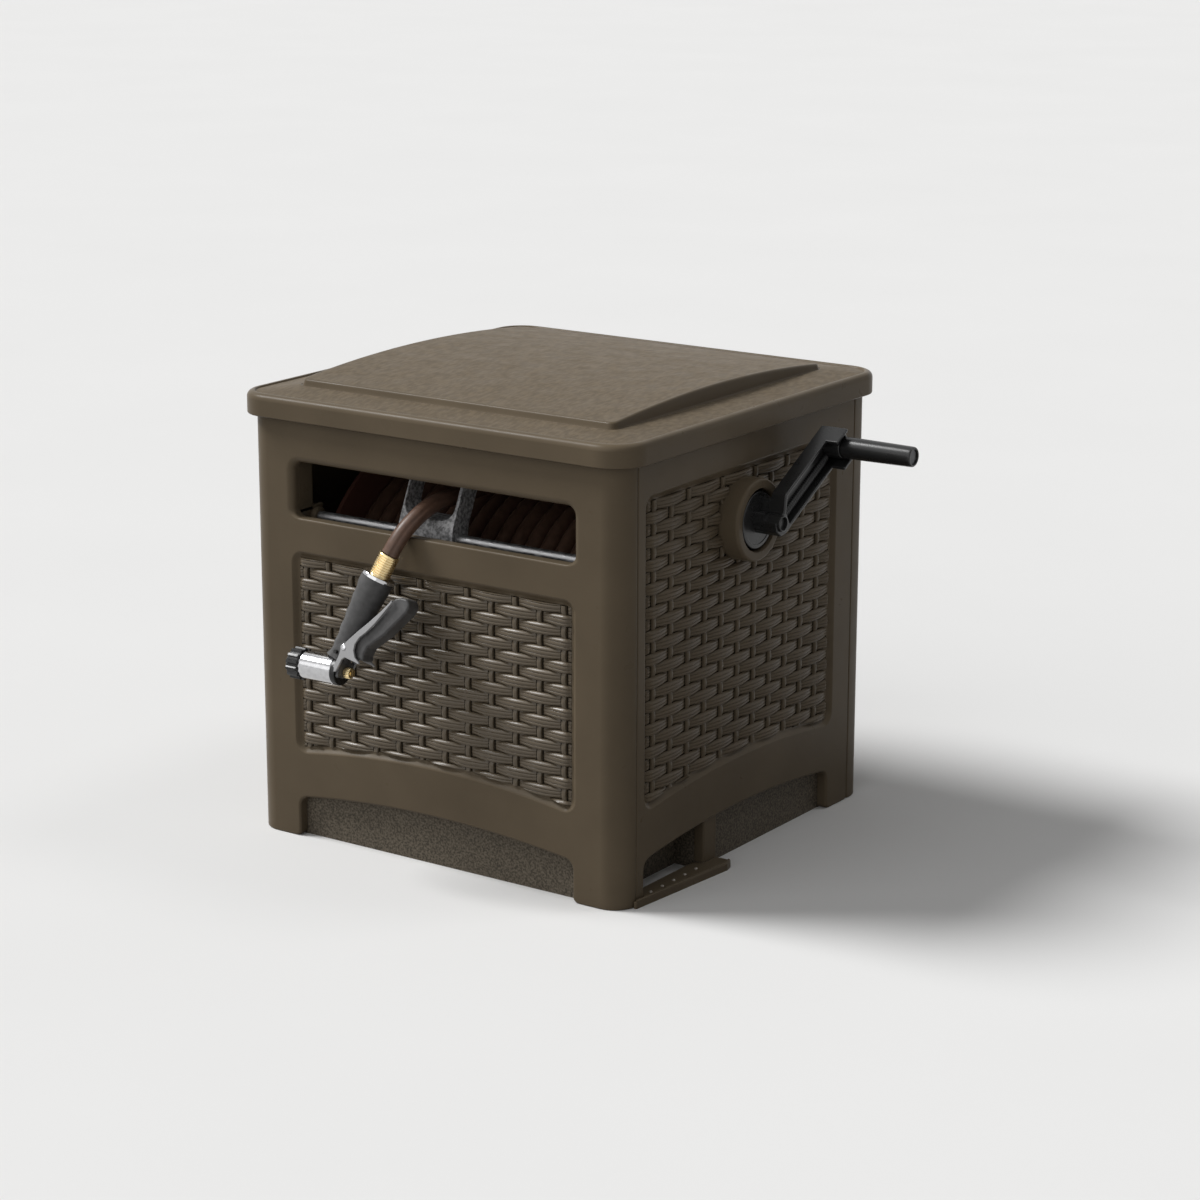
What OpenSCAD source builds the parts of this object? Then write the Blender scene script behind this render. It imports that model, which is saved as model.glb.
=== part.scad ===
// Hose reel box: a square garden box with a wound hose on a geared reel inside,
// a side crank, a sliding hose guide behind the front slot and a trigger nozzle.
// Millimetres. +Z is up, the slot faces -Y and the crank stands on the +X side.
// The origin is on the floor, under the middle of the four walls.

/* [Case] */
// Width over the side panels
body_w = 500; // [470:1:530]
// Depth over the front and back panels
body_d = 502; // [480:1:530]
// Height of the panels' top edge
body_h = 500; // [490:1:520]
// Outer radius of the upright corners
corner_r = 28; // [22:1:34]
// Thickness of a panel
panel_t = 12; // [10:0.5:14]
// Gap at the panel seams and around the tray
seam_gap = 0.4; // [0.2:0.1:0.8]
// Depth of the woven fields
field_depth = 5; // [3:0.5:6]
// How far the back panel turns along each side past the corner
back_return = 9; // [4:1:20]

/* [Front and back panels] */
// Width of the woven field and of the slot
field_w = 376; // [350:1:390]
// Corner height of the woven field's arched lower edge
field_z0 = 100; // [90:1:110]
// Distance from the panels' top edge down to the front woven field
field_drop = 178; // [165:1:200]
// Rise of the woven field's lower edge
field_rise = 16; // [8:1:22]
// Distance from the panels' top edge down to the hose slot's lower edge
slot_drop = 131; // [125:1:140]
// Height of the hose slot
slot_h = 62; // [50:1:70]
// Corner radius of the hose slot
slot_r = 10; // [5:1:16]
// Width of the foot arch
arch_w = 374; // [350:1:390]
// Height of the foot arch at its ends
arch_z = 46; // [38:1:52]
// Rise of the foot arch
arch_rise = 13; // [8:1:16]

/* [Side panels] */
// Distance from the front face to the side woven field
side_field_front = 45; // [41:1:56]
// Distance from the side woven field to the back face
side_field_back = 77; // [66:1:91]
// Distance from the panels' top edge down to the side woven field
side_field_drop = 60; // [45:1:70]
// Distance from the front face to the side foot arch
side_arch_front = 43; // [39:1:51]
// Distance from the side foot arch to the back face
side_arch_back = 83; // [66:1:96]

/* [Weave] */
// Spacing of the woven rows
row_pitch = 12.7; // [12:0.1:14]
// Spacing of the stakes on the front and back
stake_pitch = 31.6; // [30:0.1:34]
// Spacing of the stakes on the sides
side_stake_pitch = 33; // [30:0.1:34]
// Gap between a woven bar and its neighbours
bar_gap = 2; // [1.5:0.25:3]
// Height of a woven bar over the field's floor
bar_rise = 3; // [2:0.5:4]
// Margin between the woven bars and the field's ends
weave_margin = 6; // [5:0.5:8]

/* [Base] */
// Height of the tray's walls
tray_h = 95; // [85:1:98]
// Thickness of the tray's walls
tray_t = 4; // [3:0.5:6]
// Thickness of the tray's floor
tray_floor = 5; // [3:0.5:8]
// Distance from the front face to the toe recess's rear end
toe_back = 165; // [151:1:171]
// Depth of the toe recess behind the panel
toe_depth = 30; // [24:1:32]
// Height of the toe recess
toe_h = 66; // [62:1:72]
// Thickness of the step pad
pad_t = 8; // [6:0.5:10]
// How far the step pad stands out past the side
pad_reach = 18; // [12:1:24]
// Radius of a stud on the step pad
stud_r = 3; // [2:0.5:4]
// Spacing of the studs
stud_pitch = 22; // [18:1:24]

/* [Lid] */
// Overhang of the lid around the walls
lid_over = 11; // [10:0.5:13]
// Thickness of the lid
lid_t = 3; // [2.5:0.5:4]
// Gap between the panels' top edge and the lid
lid_gap = 0.3; // [0.2:0.1:0.6]
// How far the skirt hangs below the panels' top edge
lid_drop = 21; // [18:1:24]
// Width of the rolled rim
rim_w = 10; // [7:0.5:14]
// Distance from the side face to the raised centre panel
crown_side = 41; // [35:1:60]
// Distance from the front face to the raised centre panel
crown_front = 44; // [36:1:56]
// Distance from the raised centre panel to the back face
crown_back = 45; // [36:1:56]
// Height of the raised panel over the border, at its highest
crown_h = 21; // [12:1:26]
// Radius of the raised panel's arch
crown_r = 1970; // [1400:1:2400]
// Place of the raised panel's highest line
crown_mid = -8; // [-20:1:40]
// Radius of the hinge pins
hinge_r = 2; // [1.5:0.25:2.5]
// Length of a hinge pin
hinge_len = 44; // [36:1:60]
// Distance of each hinge from the middle
hinge_x = 150; // [120:1:180]
// Width of the panel's hinge ear
hinge_ear = 20; // [14:1:24]

/* [Reel] */
// Crank axis, from front to back
crank_y = -18; // [-24:1:-10]
// Crank axis over the floor, as a share of the panels' height
crank_share = 0.766; // [0.756:0.002:0.776]
// Distance of the reel's axis below the crank's, as a share of the panels' height
reel_share = 0.3; // [0.29:0.005:0.31]
// Space between the flanges and the front wall
flange_room = 33; // [30:1:40]
// Largest radius of the flanges, as a share of their axis' height
flange_share = 0.807; // [0.77:0.001:0.82]
// Thickness of a flange
flange_t = 5; // [4:0.5:7]
// Radius of the drum, as a share of the flanges'
drum_share = 0.532; // [0.48:0.002:0.55]
// Wall of the drum
drum_t = 8; // [6:0.5:10]
// Radius of the reel's axle and of the inlet journal
axle_r = 12; // [10:0.5:13]
// Outer radius of the reel's hubs
hub_r = 24; // [20:1:28]
// Length of the left hub outside its flange
left_hub_len = 26; // [20:1:27]
// Length of the right hub outside its flange
right_hub_len = 11; // [8:1:12]
// Thickness of the bearing on the right panel
bearing_t = 10; // [8:0.5:11]
// Gap between the gears and the bearing
gear_gap = 2; // [1:0.5:3]
// Radial clearance of a running fit
run_fit = 0.05; // [0.03:0.01:0.09]

/* [Gears] */
// Teeth on the crank's gear
crank_teeth = 30; // [28:1:30]
// Teeth on the reel's gear
reel_teeth = 45; // [44:1:46]
// Width of the gears
gear_w = 14; // [10:1:15]
// Thinning of each tooth for backlash
backlash = 0.35; // [0.2:0.05:0.5]

/* [Hose] */
// Outer diameter of the hose
hose_d = 19; // [18:0.5:19]
// Loops in the outer layer
hose_loops = 18; // [16:1:18]
// Radius of the outer layer at the hose's middle, as a share of the flanges'
wind_share = 0.793; // [0.77:0.001:0.793]
// Space beside the outer layer at each flange
wind_margin = 4; // [3:0.5:6]
// Clearance between the outer layer and what lies under it
wind_gap = 0.3; // [0.2:0.1:0.6]

/* [Inlet] */
// Radius of the inlet's hose thread
inlet_r = 13.4; // [12.5:0.1:13.8]
// Length of the inlet's hose thread
inlet_len = 22; // [16:1:30]
// Radius of the inlet's bore
inlet_bore = 8; // [6:0.5:9]
// Radius of the inlet's neck in the panel
neck_r = 14; // [13.5:0.5:16]
// Radius of the inlet's flange and nut
inlet_flange_r = 24; // [20:1:28]
// Thickness of the inlet's flange
inlet_flange_t = 6; // [4:0.5:8]
// Thickness of the inlet's nut
nut_t = 8; // [6:0.5:8]
// Gap between the nut and the reel's hub
nut_gap = 3; // [2:0.5:4]
// Thickness of the inlet's washer
washer_t = 1.5; // [1:0.25:2]

/* [Crank] */
// Radius of the crank's shaft
shaft_r = 10; // [8:0.5:11]
// Radius of the escutcheon
dish_r = 46; // [42:1:48]
// How far the escutcheon stands out past the panel's face
dish_out = 20; // [16:1:24]
// Radius of the crank's hub disc
crank_disc_r = 31.5; // [28:0.5:33]
// Crank length, from its axis to the grip's axis
crank_len = 132; // [120:1:140]
// Angle of the crank at rest, over the horizontal
crank_angle = 29; // [0:1:90]
// Width of the crank's arm over the line from its axis to the grip
arm_over = 21.5; // [19:0.5:23]
// Width of the crank's arm under that line
arm_under = 16.5; // [15:0.5:18]
// Thickness of the crank's arm
arm_t = 17.5; // [16:0.5:22]
// Wall of the crank's arm
arm_wall = 4; // [3:0.5:6]
// Radius of the grip
grip_r = 12; // [11:0.5:14]
// Length of the grip
grip_len = 86; // [70:1:95]
// Radius of the grip's pin
pin_r = 5; // [4:0.5:6]

/* [Hose guide] */
// Radius of the guide rod
rod_r = 6; // [5:0.5:6.5]
// Distance from the front face to the rod's axis
rod_back = 41; // [37:1:43]
// How far the rod's axis lies below the slot's lower edge
rod_sink = 6; // [5:1:8]
// Width of the carriage
carriage_w = 72; // [66:1:80]
// Middle of the carriage at rest
carriage_x = -29; // [-34:1:-24]
// Depth of the carriage
carriage_d = 28; // [24:1:30]
// Radius of the carriage's ring
ring_r = 30; // [27:1:31]
// Height of the ring's centre over the rod
ring_up = 50; // [48:1:52]

/* [Nozzle] */
// Length of the brass coupling
coupling_len = 25; // [20:1:30]
// Radius of the brass coupling
coupling_r = 11.5; // [10.5:0.5:13]
// Radius of the collar and of the grip's top
collar_r = 18.5; // [16:0.5:20]
// Thickness of the collar
collar_t = 8; // [6:0.5:10]
// Radius of the grip's lower end
neck_end_r = 9.5; // [8.5:0.5:10]
// Distance from the hose's end to the barrel's axis
nozzle_len = 140; // [132:1:150]
// Radius of the barrel
barrel_r = 15.5; // [14.5:0.5:16]
// Length of the barrel in front of the grip
barrel_front = 38; // [34:1:44]
// Length of the barrel behind the grip
barrel_rear = 13; // [13:0.5:14]
// Radius of the guard ring at the barrel's front
guard_r = 17.75; // [17:0.25:19]
// Length of the guard ring
guard_len = 15; // [12:1:18]
// Radius of the valve stem
stem_r = 2.5; // [2:0.25:3]
// Width of the trigger
trigger_w = 30; // [29:0.5:32]

/* [Hidden] */
$fn = 96;

// Colours
plastic = [0.30, 0.27, 0.23];
black_plastic = [0.07, 0.07, 0.075];
hose_brown = [0.40, 0.31, 0.25];
steel = [0.62, 0.62, 0.64];
brass = [0.75, 0.58, 0.25];
rubber_grey = [0.16, 0.16, 0.17];

// Planes of the case
hw = body_w / 2;
hd = body_d / 2;
in_x = hw - panel_t;
in_y = hd - panel_t;
front_seam = -hd + corner_r;
back_seam = hd - corner_r - back_return;
field_z1 = body_h - field_drop;
slot_z = body_h - slot_drop;
side_field_y0 = -hd + side_field_front;
side_field_y1 = hd - side_field_back;
side_field_z1 = body_h - side_field_drop;
side_arch_y0 = -hd + side_arch_front;
side_arch_y1 = hd - side_arch_back;
toe_x = in_x - toe_depth;
toe_y1 = -hd + toe_back;
post_w = 25;
pad_tuck = 4;
field_row_drop = 8;
side_row_drop = 4.4;
side_first_bar = 51;
crown_x = hw - crown_side;
crown_y0 = -hd + crown_front;
crown_y1 = hd - crown_back;
far = 1000;
slip = 0.1;

// Reel: places along its axis, from the left wall to the right one
crank_z = crank_share * body_h;
centre_distance = reel_share * body_h;
gear_m = 2 * centre_distance / (crank_teeth + reel_teeth);
reel_z = crank_z - centre_distance;
flange_r = min(in_y + crank_y - flange_room, flange_share * reel_z);
drum_r = drum_share * flange_r;
wind_r = wind_share * flange_r;
left_hub_x = -in_x + nut_t + nut_gap;
drum_x0 = left_hub_x + left_hub_len + flange_t;
bearing_x = in_x - bearing_t;
gear_x1 = bearing_x - gear_gap;
gear_x0 = gear_x1 - gear_w;
drum_x1 = gear_x0 - right_hub_len - flange_t;
drum_len = drum_x1 - drum_x0;
wind_pitch = (drum_len - hose_d - 2 * wind_margin) / hose_loops;
wind_x0 = drum_x0 + wind_margin + hose_d / 2;
loop_rings = 24;
screw_r = 2;
screw_head_r = 4;
screw_head_t = 2.5;
tray_screw_in = 100;
tray_screw_drop = 12;
elbow_x = 16;
elbow_r = 9;
elbow_bore = 5.5;
elbow_len = 28;

// Crank: places along its axis, from the gear to the grip's end
bush_r = shaft_r + 5;
bush_flange_t = 5;
dish_x = hw + dish_out;
dish_floor = 5;
disc_x0 = hw - field_depth + dish_floor + 6;
disc_x1 = dish_x - 2;
hub_block = 11;
arm_x0 = disc_x1 + hub_block;
arm_x1 = arm_x0 + arm_t;
arm_floor = 6;
boss_out = 9.5;
boss_r = 13;
lug_out = 3.5;
lug_r = 9;
rib_r = 6.5;
arm_past = 8;
hub_reach = 24;
grip_x0 = arm_x1 + boss_out + 0.3;
grip_x1 = grip_x0 + grip_len;
pin_head_r = 8;
pin_head_t = 2;
pin_sink = 2;
crank_screw_r = 3;
crank_screw_len = 16;
crank_head_r = 7;
crank_head_t = 4;

// Front guide
cheek_t = 6;
cheek_x = field_w / 2;
rod_y = -hd + rod_back;
rod_z = slot_z - rod_sink;
cheek_y1 = rod_y + 12;
cheek_z0 = rod_z - 12;
cheek_z1 = slot_z + slot_h + 6;
socket_r = 10;
socket_t = 6;
bush_len = 16;
guide_bush_r = rod_r + 3;
carriage_z0 = rod_z - guide_bush_r - 2;
carriage_z1 = rod_z + ring_up + ring_r + 4;

// Hinge
hinge_y = hd + 5;
hinge_z = body_h - lid_drop + 3;
hinge_out_r = 4.5;
lid_z0 = body_h - lid_drop;
lid_z1 = body_h + lid_gap + lid_t;

// Route of the hose end: over the winding, through the ring and down to the coupling
lead_rest = 1;
lead_from = [carriage_x + 11, crank_y, reel_z + wind_r + hose_d + lead_rest];
lead_ring = [carriage_x + 11, rod_y + 10, rod_z + 39];
lead_shares = [0, 0.23, 0.45, 0.67, 0.86];
lead_bend = [[0, 0, 0], [-1, -16, -2], [-2, -31, -6], [-5, -45, -14], [-9, -57, -24], [-13, -66, -36],
    [-18, -72, -49]];
lead_route = concat([for (s = lead_shares) lead_from + s * (lead_ring - lead_from)],
    [for (b = lead_bend) lead_ring + b]);
lead_end_dir = [-0.325, -0.309, -0.894];

// Nozzle: its own frame has the barrel along X and the grip leaning towards +X
nozzle_tilt = atan2(lead_end_dir[1], -lead_end_dir[2]);
grip_lean = asin(-lead_end_dir[0]);
lead_last = lead_route[len(lead_route) - 1];
barrel_at = lead_last + nozzle_len * lead_end_dir / norm(lead_end_dir);
tail_r = 8;
tail_len = 20;
barrel_bore = 11;
rear_wall = 5;
pivot = [9.6, 20];
pivot_r = 2;
ear_t = 3;
ear_r = 6;
fork_x0 = barrel_rear + 1;
fork_t = 3;
nut_x0 = fork_x0 + fork_t + 0.3;
nut_len = 8;
flow_nut_r = 6;
valve_x = -barrel_front + 6;
valve_t = 4;
valve_r = 8;
seat_r = 6;
spring_r = 5;
wire_r = 0.8;
spring_turns = 7;

// Shapes that repeat

// A rounded rectangle about the origin
module rounded(w, d, r) {
    square([w - 2 * r, d], center = true);
    square([w, d - 2 * r], center = true);
    for (sx = [-1, 1], sy = [-1, 1])
        translate([sx * (w / 2 - r), sy * (d / 2 - r)]) circle(r);
}

// Draws its outline in the YZ plane and carries it along +X from x
module along_x(x, y = 0, z = 0) {
    translate([x, y, z]) rotate([90, 0, 90]) children();
}

// A round bar along X
module bar_x(x0, x1, y, z, r) {
    along_x(x0, y, z) cylinder(r = r, h = x1 - x0);
}

// A hollow round bar along X
module ring_x(x0, x1, y, z, r, bore) {
    difference() {
        bar_x(x0, x1, y, z, r);
        bar_x(x0 - 1, x1 + 1, y, z, bore);
    }
}

// Draws its outline in the XZ plane and carries it along +Y from y
module along_y(y) {
    translate([0, y, 0]) mirror([0, 1, 0]) rotate([90, 0, 0]) children();
}

// Radius of an arch of width w and rise h
function arch_radius(w, h) = (w * w / 4 + h * h) / (2 * h);

// A field with a flat top and an arched lower edge
module arched_field(u0, u1, z0, z1, rise) {
    r = arch_radius(u1 - u0, rise);
    difference() {
        translate([u0, z0]) square([u1 - u0, z1 - z0]);
        translate([(u0 + u1) / 2, z0 + rise - r]) circle(r, $fn = 360);
    }
}

// Fronts of the woven bars: a row passes over every other stake, its neighbours over those between.
// first is the middle of a bar in the top row, and around is a round place [u, z, r] that the bars end at.
module woven_bars(u0, u1, z0, z1, rise, pitch, first, around) {
    r = arch_radius(u1 - u0, rise);
    mid = (u0 + u1) / 2;
    half = (pitch - bar_gap) / 2;
    reach = ceil((u1 - u0) / pitch / 2) + 1;
    for (j = [0 : floor((z1 - z0) / row_pitch)], k = [-reach : reach]) {
        at = first + (2 * k + j % 2) * pitch;
        a = max(at - half, u0 + weave_margin);
        b = min(at + half, u1 - weave_margin);
        top = z1 - j * row_pitch - bar_gap / 2;
        low = top - row_pitch + bar_gap;
        off = (a - mid) * (b - mid) < 0 ? 0 : min(abs(a - mid), abs(b - mid));
        edge = z0 + weave_margin + rise - r + sqrt(r * r - off * off);
        above = max(low - around[1], 0, around[1] - top);
        chord = above < around[2] ? sqrt(around[2] * around[2] - above * above) : 0;
        spans = chord > 0 ? [[a, min(b, around[0] - chord)], [max(a, around[0] + chord), b]] : [[a, b]];
        for (span = spans)
            if (span[1] - span[0] > 2 * bar_gap && low > edge)
                translate([span[0], low]) square([span[1] - span[0], top - low]);
    }
}

// A woven field as a cut: shallow over the bars and full depth between them
module woven_field(u0, u1, z0, z1, rise, pitch, first, drop, around = [0, 0, 0]) {
    linear_extrude(field_depth - bar_rise + 1) arched_field(u0, u1, z0, z1, rise);
    linear_extrude(field_depth + 1) difference() {
        arched_field(u0, u1, z0, z1, rise);
        woven_bars(u0, u1, z0, z1 - drop, rise, pitch, first, around);
    }
}

// The opening under a foot arch
module foot_arch(u0, u1) {
    r = arch_radius(u1 - u0, arch_rise);
    intersection() {
        translate([u0, -1]) square([u1 - u0, arch_z + arch_rise + 1]);
        translate([(u0 + u1) / 2, arch_z + arch_rise - r]) circle(r, $fn = 360);
    }
}

// The walls' ring, as deep as a panel
module wall_ring(from_y, to_y) {
    intersection() {
        difference() {
            rounded(body_w, body_d, corner_r);
            rounded(2 * in_x, 2 * in_y, corner_r - panel_t);
        }
        translate([-far / 2, from_y]) square([far, to_y - from_y]);
    }
}

// An involute spur gear about the origin, with a tooth on the +u axis
function involute(rb, a) = let(d = a * 180 / PI) [rb * (cos(d) + a * sin(d)), rb * (sin(d) - a * cos(d))];
function turned(p, a) = [p[0] * cos(a) - p[1] * sin(a), p[0] * sin(a) + p[1] * cos(a)];
function flank(rb, ro, steps) = [for (i = [0 : steps])
    involute(rb, sqrt(pow(ro / rb, 2) - 1) * i / steps)];
function tooth_half_angle(teeth) = let(
    rp = gear_m * teeth / 2,
    rb = rp * cos(20),
    a = sqrt(pow(rp / rb, 2) - 1))
    90 / teeth - backlash / 2 / rp * 180 / PI + (a * 180 / PI - atan(a));
function gear_points(teeth) = let(
    rp = gear_m * teeth / 2,
    rb = rp * cos(20),
    ro = rp + gear_m * 0.95,
    rr = rp - gear_m * 1.25,
    half = tooth_half_angle(teeth),
    side = flank(max(rb, rr), ro, 4))
    [for (t = [0 : teeth - 1], p = concat(
        [turned([rr, 0], -half)],
        [for (q = side) turned(q, -half)],
        [for (i = [len(side) - 1 : -1 : 0]) turned([side[i][0], -side[i][1]], half)],
        [turned([rr, 0], half)]))
        turned(p, t * 360 / teeth)];

// A tube through the points of a path, with flat ends
function unit(v) = v / norm(v);
function heading(path, i) = unit(path[min(i + 1, len(path) - 1)] - path[max(i - 1, 0)]);
function tube_ring(at, dir, r, sides) = let(
    side = unit([1, 0, 0] - dir[0] * dir),
    up = cross(dir, side))
    [for (k = [0 : sides - 1]) at + r * (cos(360 * k / sides) * side + sin(360 * k / sides) * up)];
module tube(path, dirs, r, sides) {
    last = len(path) - 1;
    points = [for (i = [0 : last], p = tube_ring(path[i], dirs[i], r, sides)) p];
    walls = [for (i = [0 : last - 1], k = [0 : sides - 1])
        let(a = i * sides + k, b = i * sides + (k + 1) % sides)
        each [[a, a + sides, b], [b, a + sides, b + sides]]];
    first_cap = [for (k = [1 : sides - 2]) [0, k, k + 1]];
    end = last * sides;
    last_cap = [for (k = [1 : sides - 2]) [end, end + k + 1, end + k]];
    polyhedron(points, concat(walls, first_cap, last_cap));
}

// Least distance between stretches of a path that are at least skip points apart
function least_gap(path, skip, d) = min([for (i = [0 : len(path) - 1 - skip], j = [i + skip : len(path) - 1])
    norm(path[i] - path[j])]) - d;

// Case

// Kick walls and floor, with the toe recess at the right front
module base_tray() {
    tw = 2 * (in_x - seam_gap);
    td = 2 * (in_y - seam_gap);
    tr = corner_r - panel_t;
    color(plastic) {
        difference() {
            linear_extrude(tray_h) rounded(tw, td, tr);
            translate([0, 0, tray_floor]) linear_extrude(tray_h)
                rounded(tw - 2 * tray_t, td - 2 * tray_t, tr - tray_t);
            translate([toe_x, side_arch_y0, -1]) cube([far, toe_y1 - side_arch_y0, toe_h + 1]);
            for (p = tray_screw_points()) tray_screw(p, screw_r + slip);
        }
        // Walls and roof of the toe recess
        difference() {
            translate([toe_x - tray_t, side_arch_y0 - tray_t, 0])
                cube([toe_depth + tray_t / 2 - seam_gap, toe_y1 - side_arch_y0 + 2 * tray_t, toe_h + tray_t]);
            translate([toe_x, side_arch_y0, -1]) cube([far, toe_y1 - side_arch_y0, toe_h + 1]);
        }
        // Post that stands on the pad beside the recess
        translate([in_x - seam_gap - tray_t, toe_y1, pad_t]) cube([panel_t, post_w, arch_z + 2 - pad_t]);
    }
}

// Middles of the screws that hold the panels to the tray, each with its outward direction
function tray_screw_points() = [for (s = [-1, 1])
    let(x = s * (hw - tray_screw_in), y = s * (hd - tray_screw_in))
    each [[[x, -in_y], [0, -1]], [[x, in_y], [0, 1]], [[-in_x, y], [-1, 0]], [[in_x, y], [1, 0]]]];
module tray_screw(p, r, head = false) {
    reach = tray_t + 6;
    translate([p[0][0], p[0][1], tray_h - tray_screw_drop]) rotate([0, 90, atan2(p[1][1], p[1][0])]) {
        translate([0, 0, -tray_t - seam_gap]) cylinder(r = r, h = reach + seam_gap);
        if (head)
            translate([0, 0, -tray_t - seam_gap - screw_head_t]) cylinder(r = screw_head_r, h = screw_head_t);
    }
}
module panel_screws() {
    color(steel) for (p = tray_screw_points()) tray_screw(p, screw_r, true);
}

// Foot plate with its studs
module step_pad() {
    pad_y0 = front_seam - 6;
    pad_y1 = toe_y1 + post_w + 1;
    out_x = hw + pad_reach;
    bevel = 12;
    stud_count = 5;
    first_stud = side_arch_y0 + 14;
    stud_h = 2;
    color(plastic) {
        linear_extrude(pad_t) polygon([[in_x - pad_tuck, side_arch_y0 + seam_gap],
            [hw + seam_gap, side_arch_y0 + seam_gap], [hw + seam_gap, pad_y0], [hw + 4, pad_y0],
            [out_x, pad_y1 - bevel], [out_x - bevel / 4, pad_y1], [hw + seam_gap, pad_y1],
            [hw + seam_gap, toe_y1 + post_w], [in_x + 1, toe_y1 + post_w], [in_x + 1, toe_y1 - seam_gap],
            [in_x - pad_tuck, toe_y1 - seam_gap]]);
        for (i = [0 : stud_count - 1])
            translate([hw - 1, first_stud + i * stud_pitch, pad_t])
                cylinder(r1 = stud_r, r2 = stud_r / 2, h = stud_h);
    }
}

// Front wall with the slot, the woven field, the foot arch and the cheeks that hold the rod
module front_panel() {
    half = field_w / 2;
    color(plastic) difference() {
        union() {
            linear_extrude(body_h) wall_ring(-hd - 1, front_seam);
            for (s = [-1, 1])
                translate([s * (cheek_x + cheek_t / 2) - cheek_t / 2, -in_y - 1, cheek_z0])
                    cube([cheek_t, cheek_y1 + in_y + 1, cheek_z1 - cheek_z0]);
        }
        along_y(-hd - 1) translate([0, slot_z + slot_h / 2]) linear_extrude(panel_t + 2)
            rounded(field_w, slot_h, slot_r);
        along_y(-hd - 1)
            woven_field(-half, half, field_z0, field_z1, field_rise, stake_pitch, -stake_pitch / 2,
                field_row_drop);
        along_y(-hd - 1) linear_extrude(panel_t + 2) foot_arch(-arch_w / 2, arch_w / 2);
        for (p = tray_screw_points()) tray_screw(p, screw_r + slip);
        bar_x(-cheek_x - cheek_t - 1, cheek_x + cheek_t + 1, rod_y, rod_z, rod_r + slip);
    }
}

// Back wall with the ears of the lid's hinges
module back_panel() {
    half = field_w / 2;
    color(plastic) difference() {
        union() {
            linear_extrude(body_h) wall_ring(back_seam, hd + 1);
            for (s = [-1, 1]) {
                x0 = s * hinge_x - hinge_ear / 2;
                bar_x(x0, x0 + hinge_ear, hinge_y, hinge_z, hinge_out_r);
                translate([x0, hd - 1, hinge_z - hinge_out_r])
                    cube([hinge_ear, hinge_y - hd + 1, 2 * hinge_out_r]);
            }
        }
        mirror([0, 1, 0]) along_y(-hd - 1)
            woven_field(-half, half, field_z0, side_field_z1, field_rise, stake_pitch, -stake_pitch / 2,
                side_row_drop);
        along_y(in_y - 1) linear_extrude(panel_t + 2) foot_arch(-arch_w / 2, arch_w / 2);
        for (p = tray_screw_points()) tray_screw(p, screw_r + slip);
        hinge_bores(hinge_r + slip);
    }
}

// A side wall, drawn on the right, with no bars around the given place
module side_wall(around) {
    difference() {
        translate([in_x, front_seam + seam_gap, 0])
            cube([panel_t, back_seam - front_seam - 2 * seam_gap, body_h]);
        translate([hw + 1, 0, 0]) mirror([1, 0, 0]) along_x(0)
            woven_field(side_field_y0, side_field_y1, field_z0 + 3, side_field_z1, field_rise - 2,
                side_stake_pitch, side_field_y0 + side_first_bar, side_row_drop, around);
        along_x(in_x - 1) linear_extrude(panel_t + 2) foot_arch(side_arch_y0, side_arch_y1);
        for (p = tray_screw_points()) tray_screw(p, screw_r + slip);
    }
}
module right_panel() {
    color(plastic) difference() {
        side_wall([crank_y, crank_z, dish_r + slip]);
        bar_x(in_x - 1, hw + 1, crank_y, crank_z, bush_r + slip);
    }
}
module left_panel() {
    color(plastic) difference() {
        mirror([1, 0, 0]) side_wall([crank_y, reel_z, inlet_flange_r + slip]);
        bar_x(-hw - 1, -in_x + 1, crank_y, reel_z, neck_r + slip);
    }
}

// Round dish around the crank's shaft
module crank_escutcheon() {
    x0 = hw - field_depth;
    color(plastic) difference() {
        along_x(x0, crank_y, crank_z) rotate_extrude() polygon([[0, 0], [dish_r, 0],
            [dish_r, dish_x - x0 - 9], [dish_r - 3, dish_x - x0 - 2], [dish_r - 6, dish_x - x0],
            [0, dish_x - x0]]);
        bar_x(x0 + dish_floor, dish_x + 1, crank_y, crank_z, crank_disc_r + 2.5);
        bar_x(x0 - 1, dish_x, crank_y, crank_z, bush_r + slip);
    }
}

// Plain bearing of the crank's shaft
module crank_bush() {
    color(black_plastic) difference() {
        union() {
            bar_x(in_x - bush_flange_t, in_x, crank_y, crank_z, bush_r + 5);
            bar_x(in_x - 1, hw - field_depth + dish_floor + 3, crank_y, crank_z, bush_r);
        }
        bar_x(in_x - bush_flange_t - 1, dish_x, crank_y, crank_z, shaft_r + run_fit);
    }
}

// Plain bearing of the reel's axle, on the right wall
module reel_bearing() {
    color(black_plastic) ring_x(bearing_x, in_x, crank_y, reel_z, hub_r + 2, axle_r + run_fit);
}

// Water inlet: hose thread outside, neck in the wall and a journal that carries the reel
module inlet_spigot() {
    face = -hw + field_depth - washer_t;
    journal_x0 = -in_x + nut_t;
    journal_x1 = drum_x0 - 2;
    color(brass) difference() {
        union() {
            bar_x(face - inlet_flange_t - inlet_len, face - inlet_flange_t, crank_y, reel_z, inlet_r);
            along_x(face - inlet_flange_t, crank_y, reel_z)
                cylinder(r = inlet_flange_r, h = inlet_flange_t, $fn = 6);
            bar_x(face, journal_x0, crank_y, reel_z, neck_r);
            bar_x(journal_x0 - 1, journal_x1, crank_y, reel_z, axle_r);
        }
        bar_x(-far, far, crank_y, reel_z, inlet_bore);
        for (x = seal_places()) ring_x(x - 1.2, x + 1.2, crank_y, reel_z, axle_r + 1, axle_r - 2);
    }
}
function seal_places() = [left_hub_x + left_hub_len / 3, left_hub_x + left_hub_len * 2 / 3];
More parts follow.
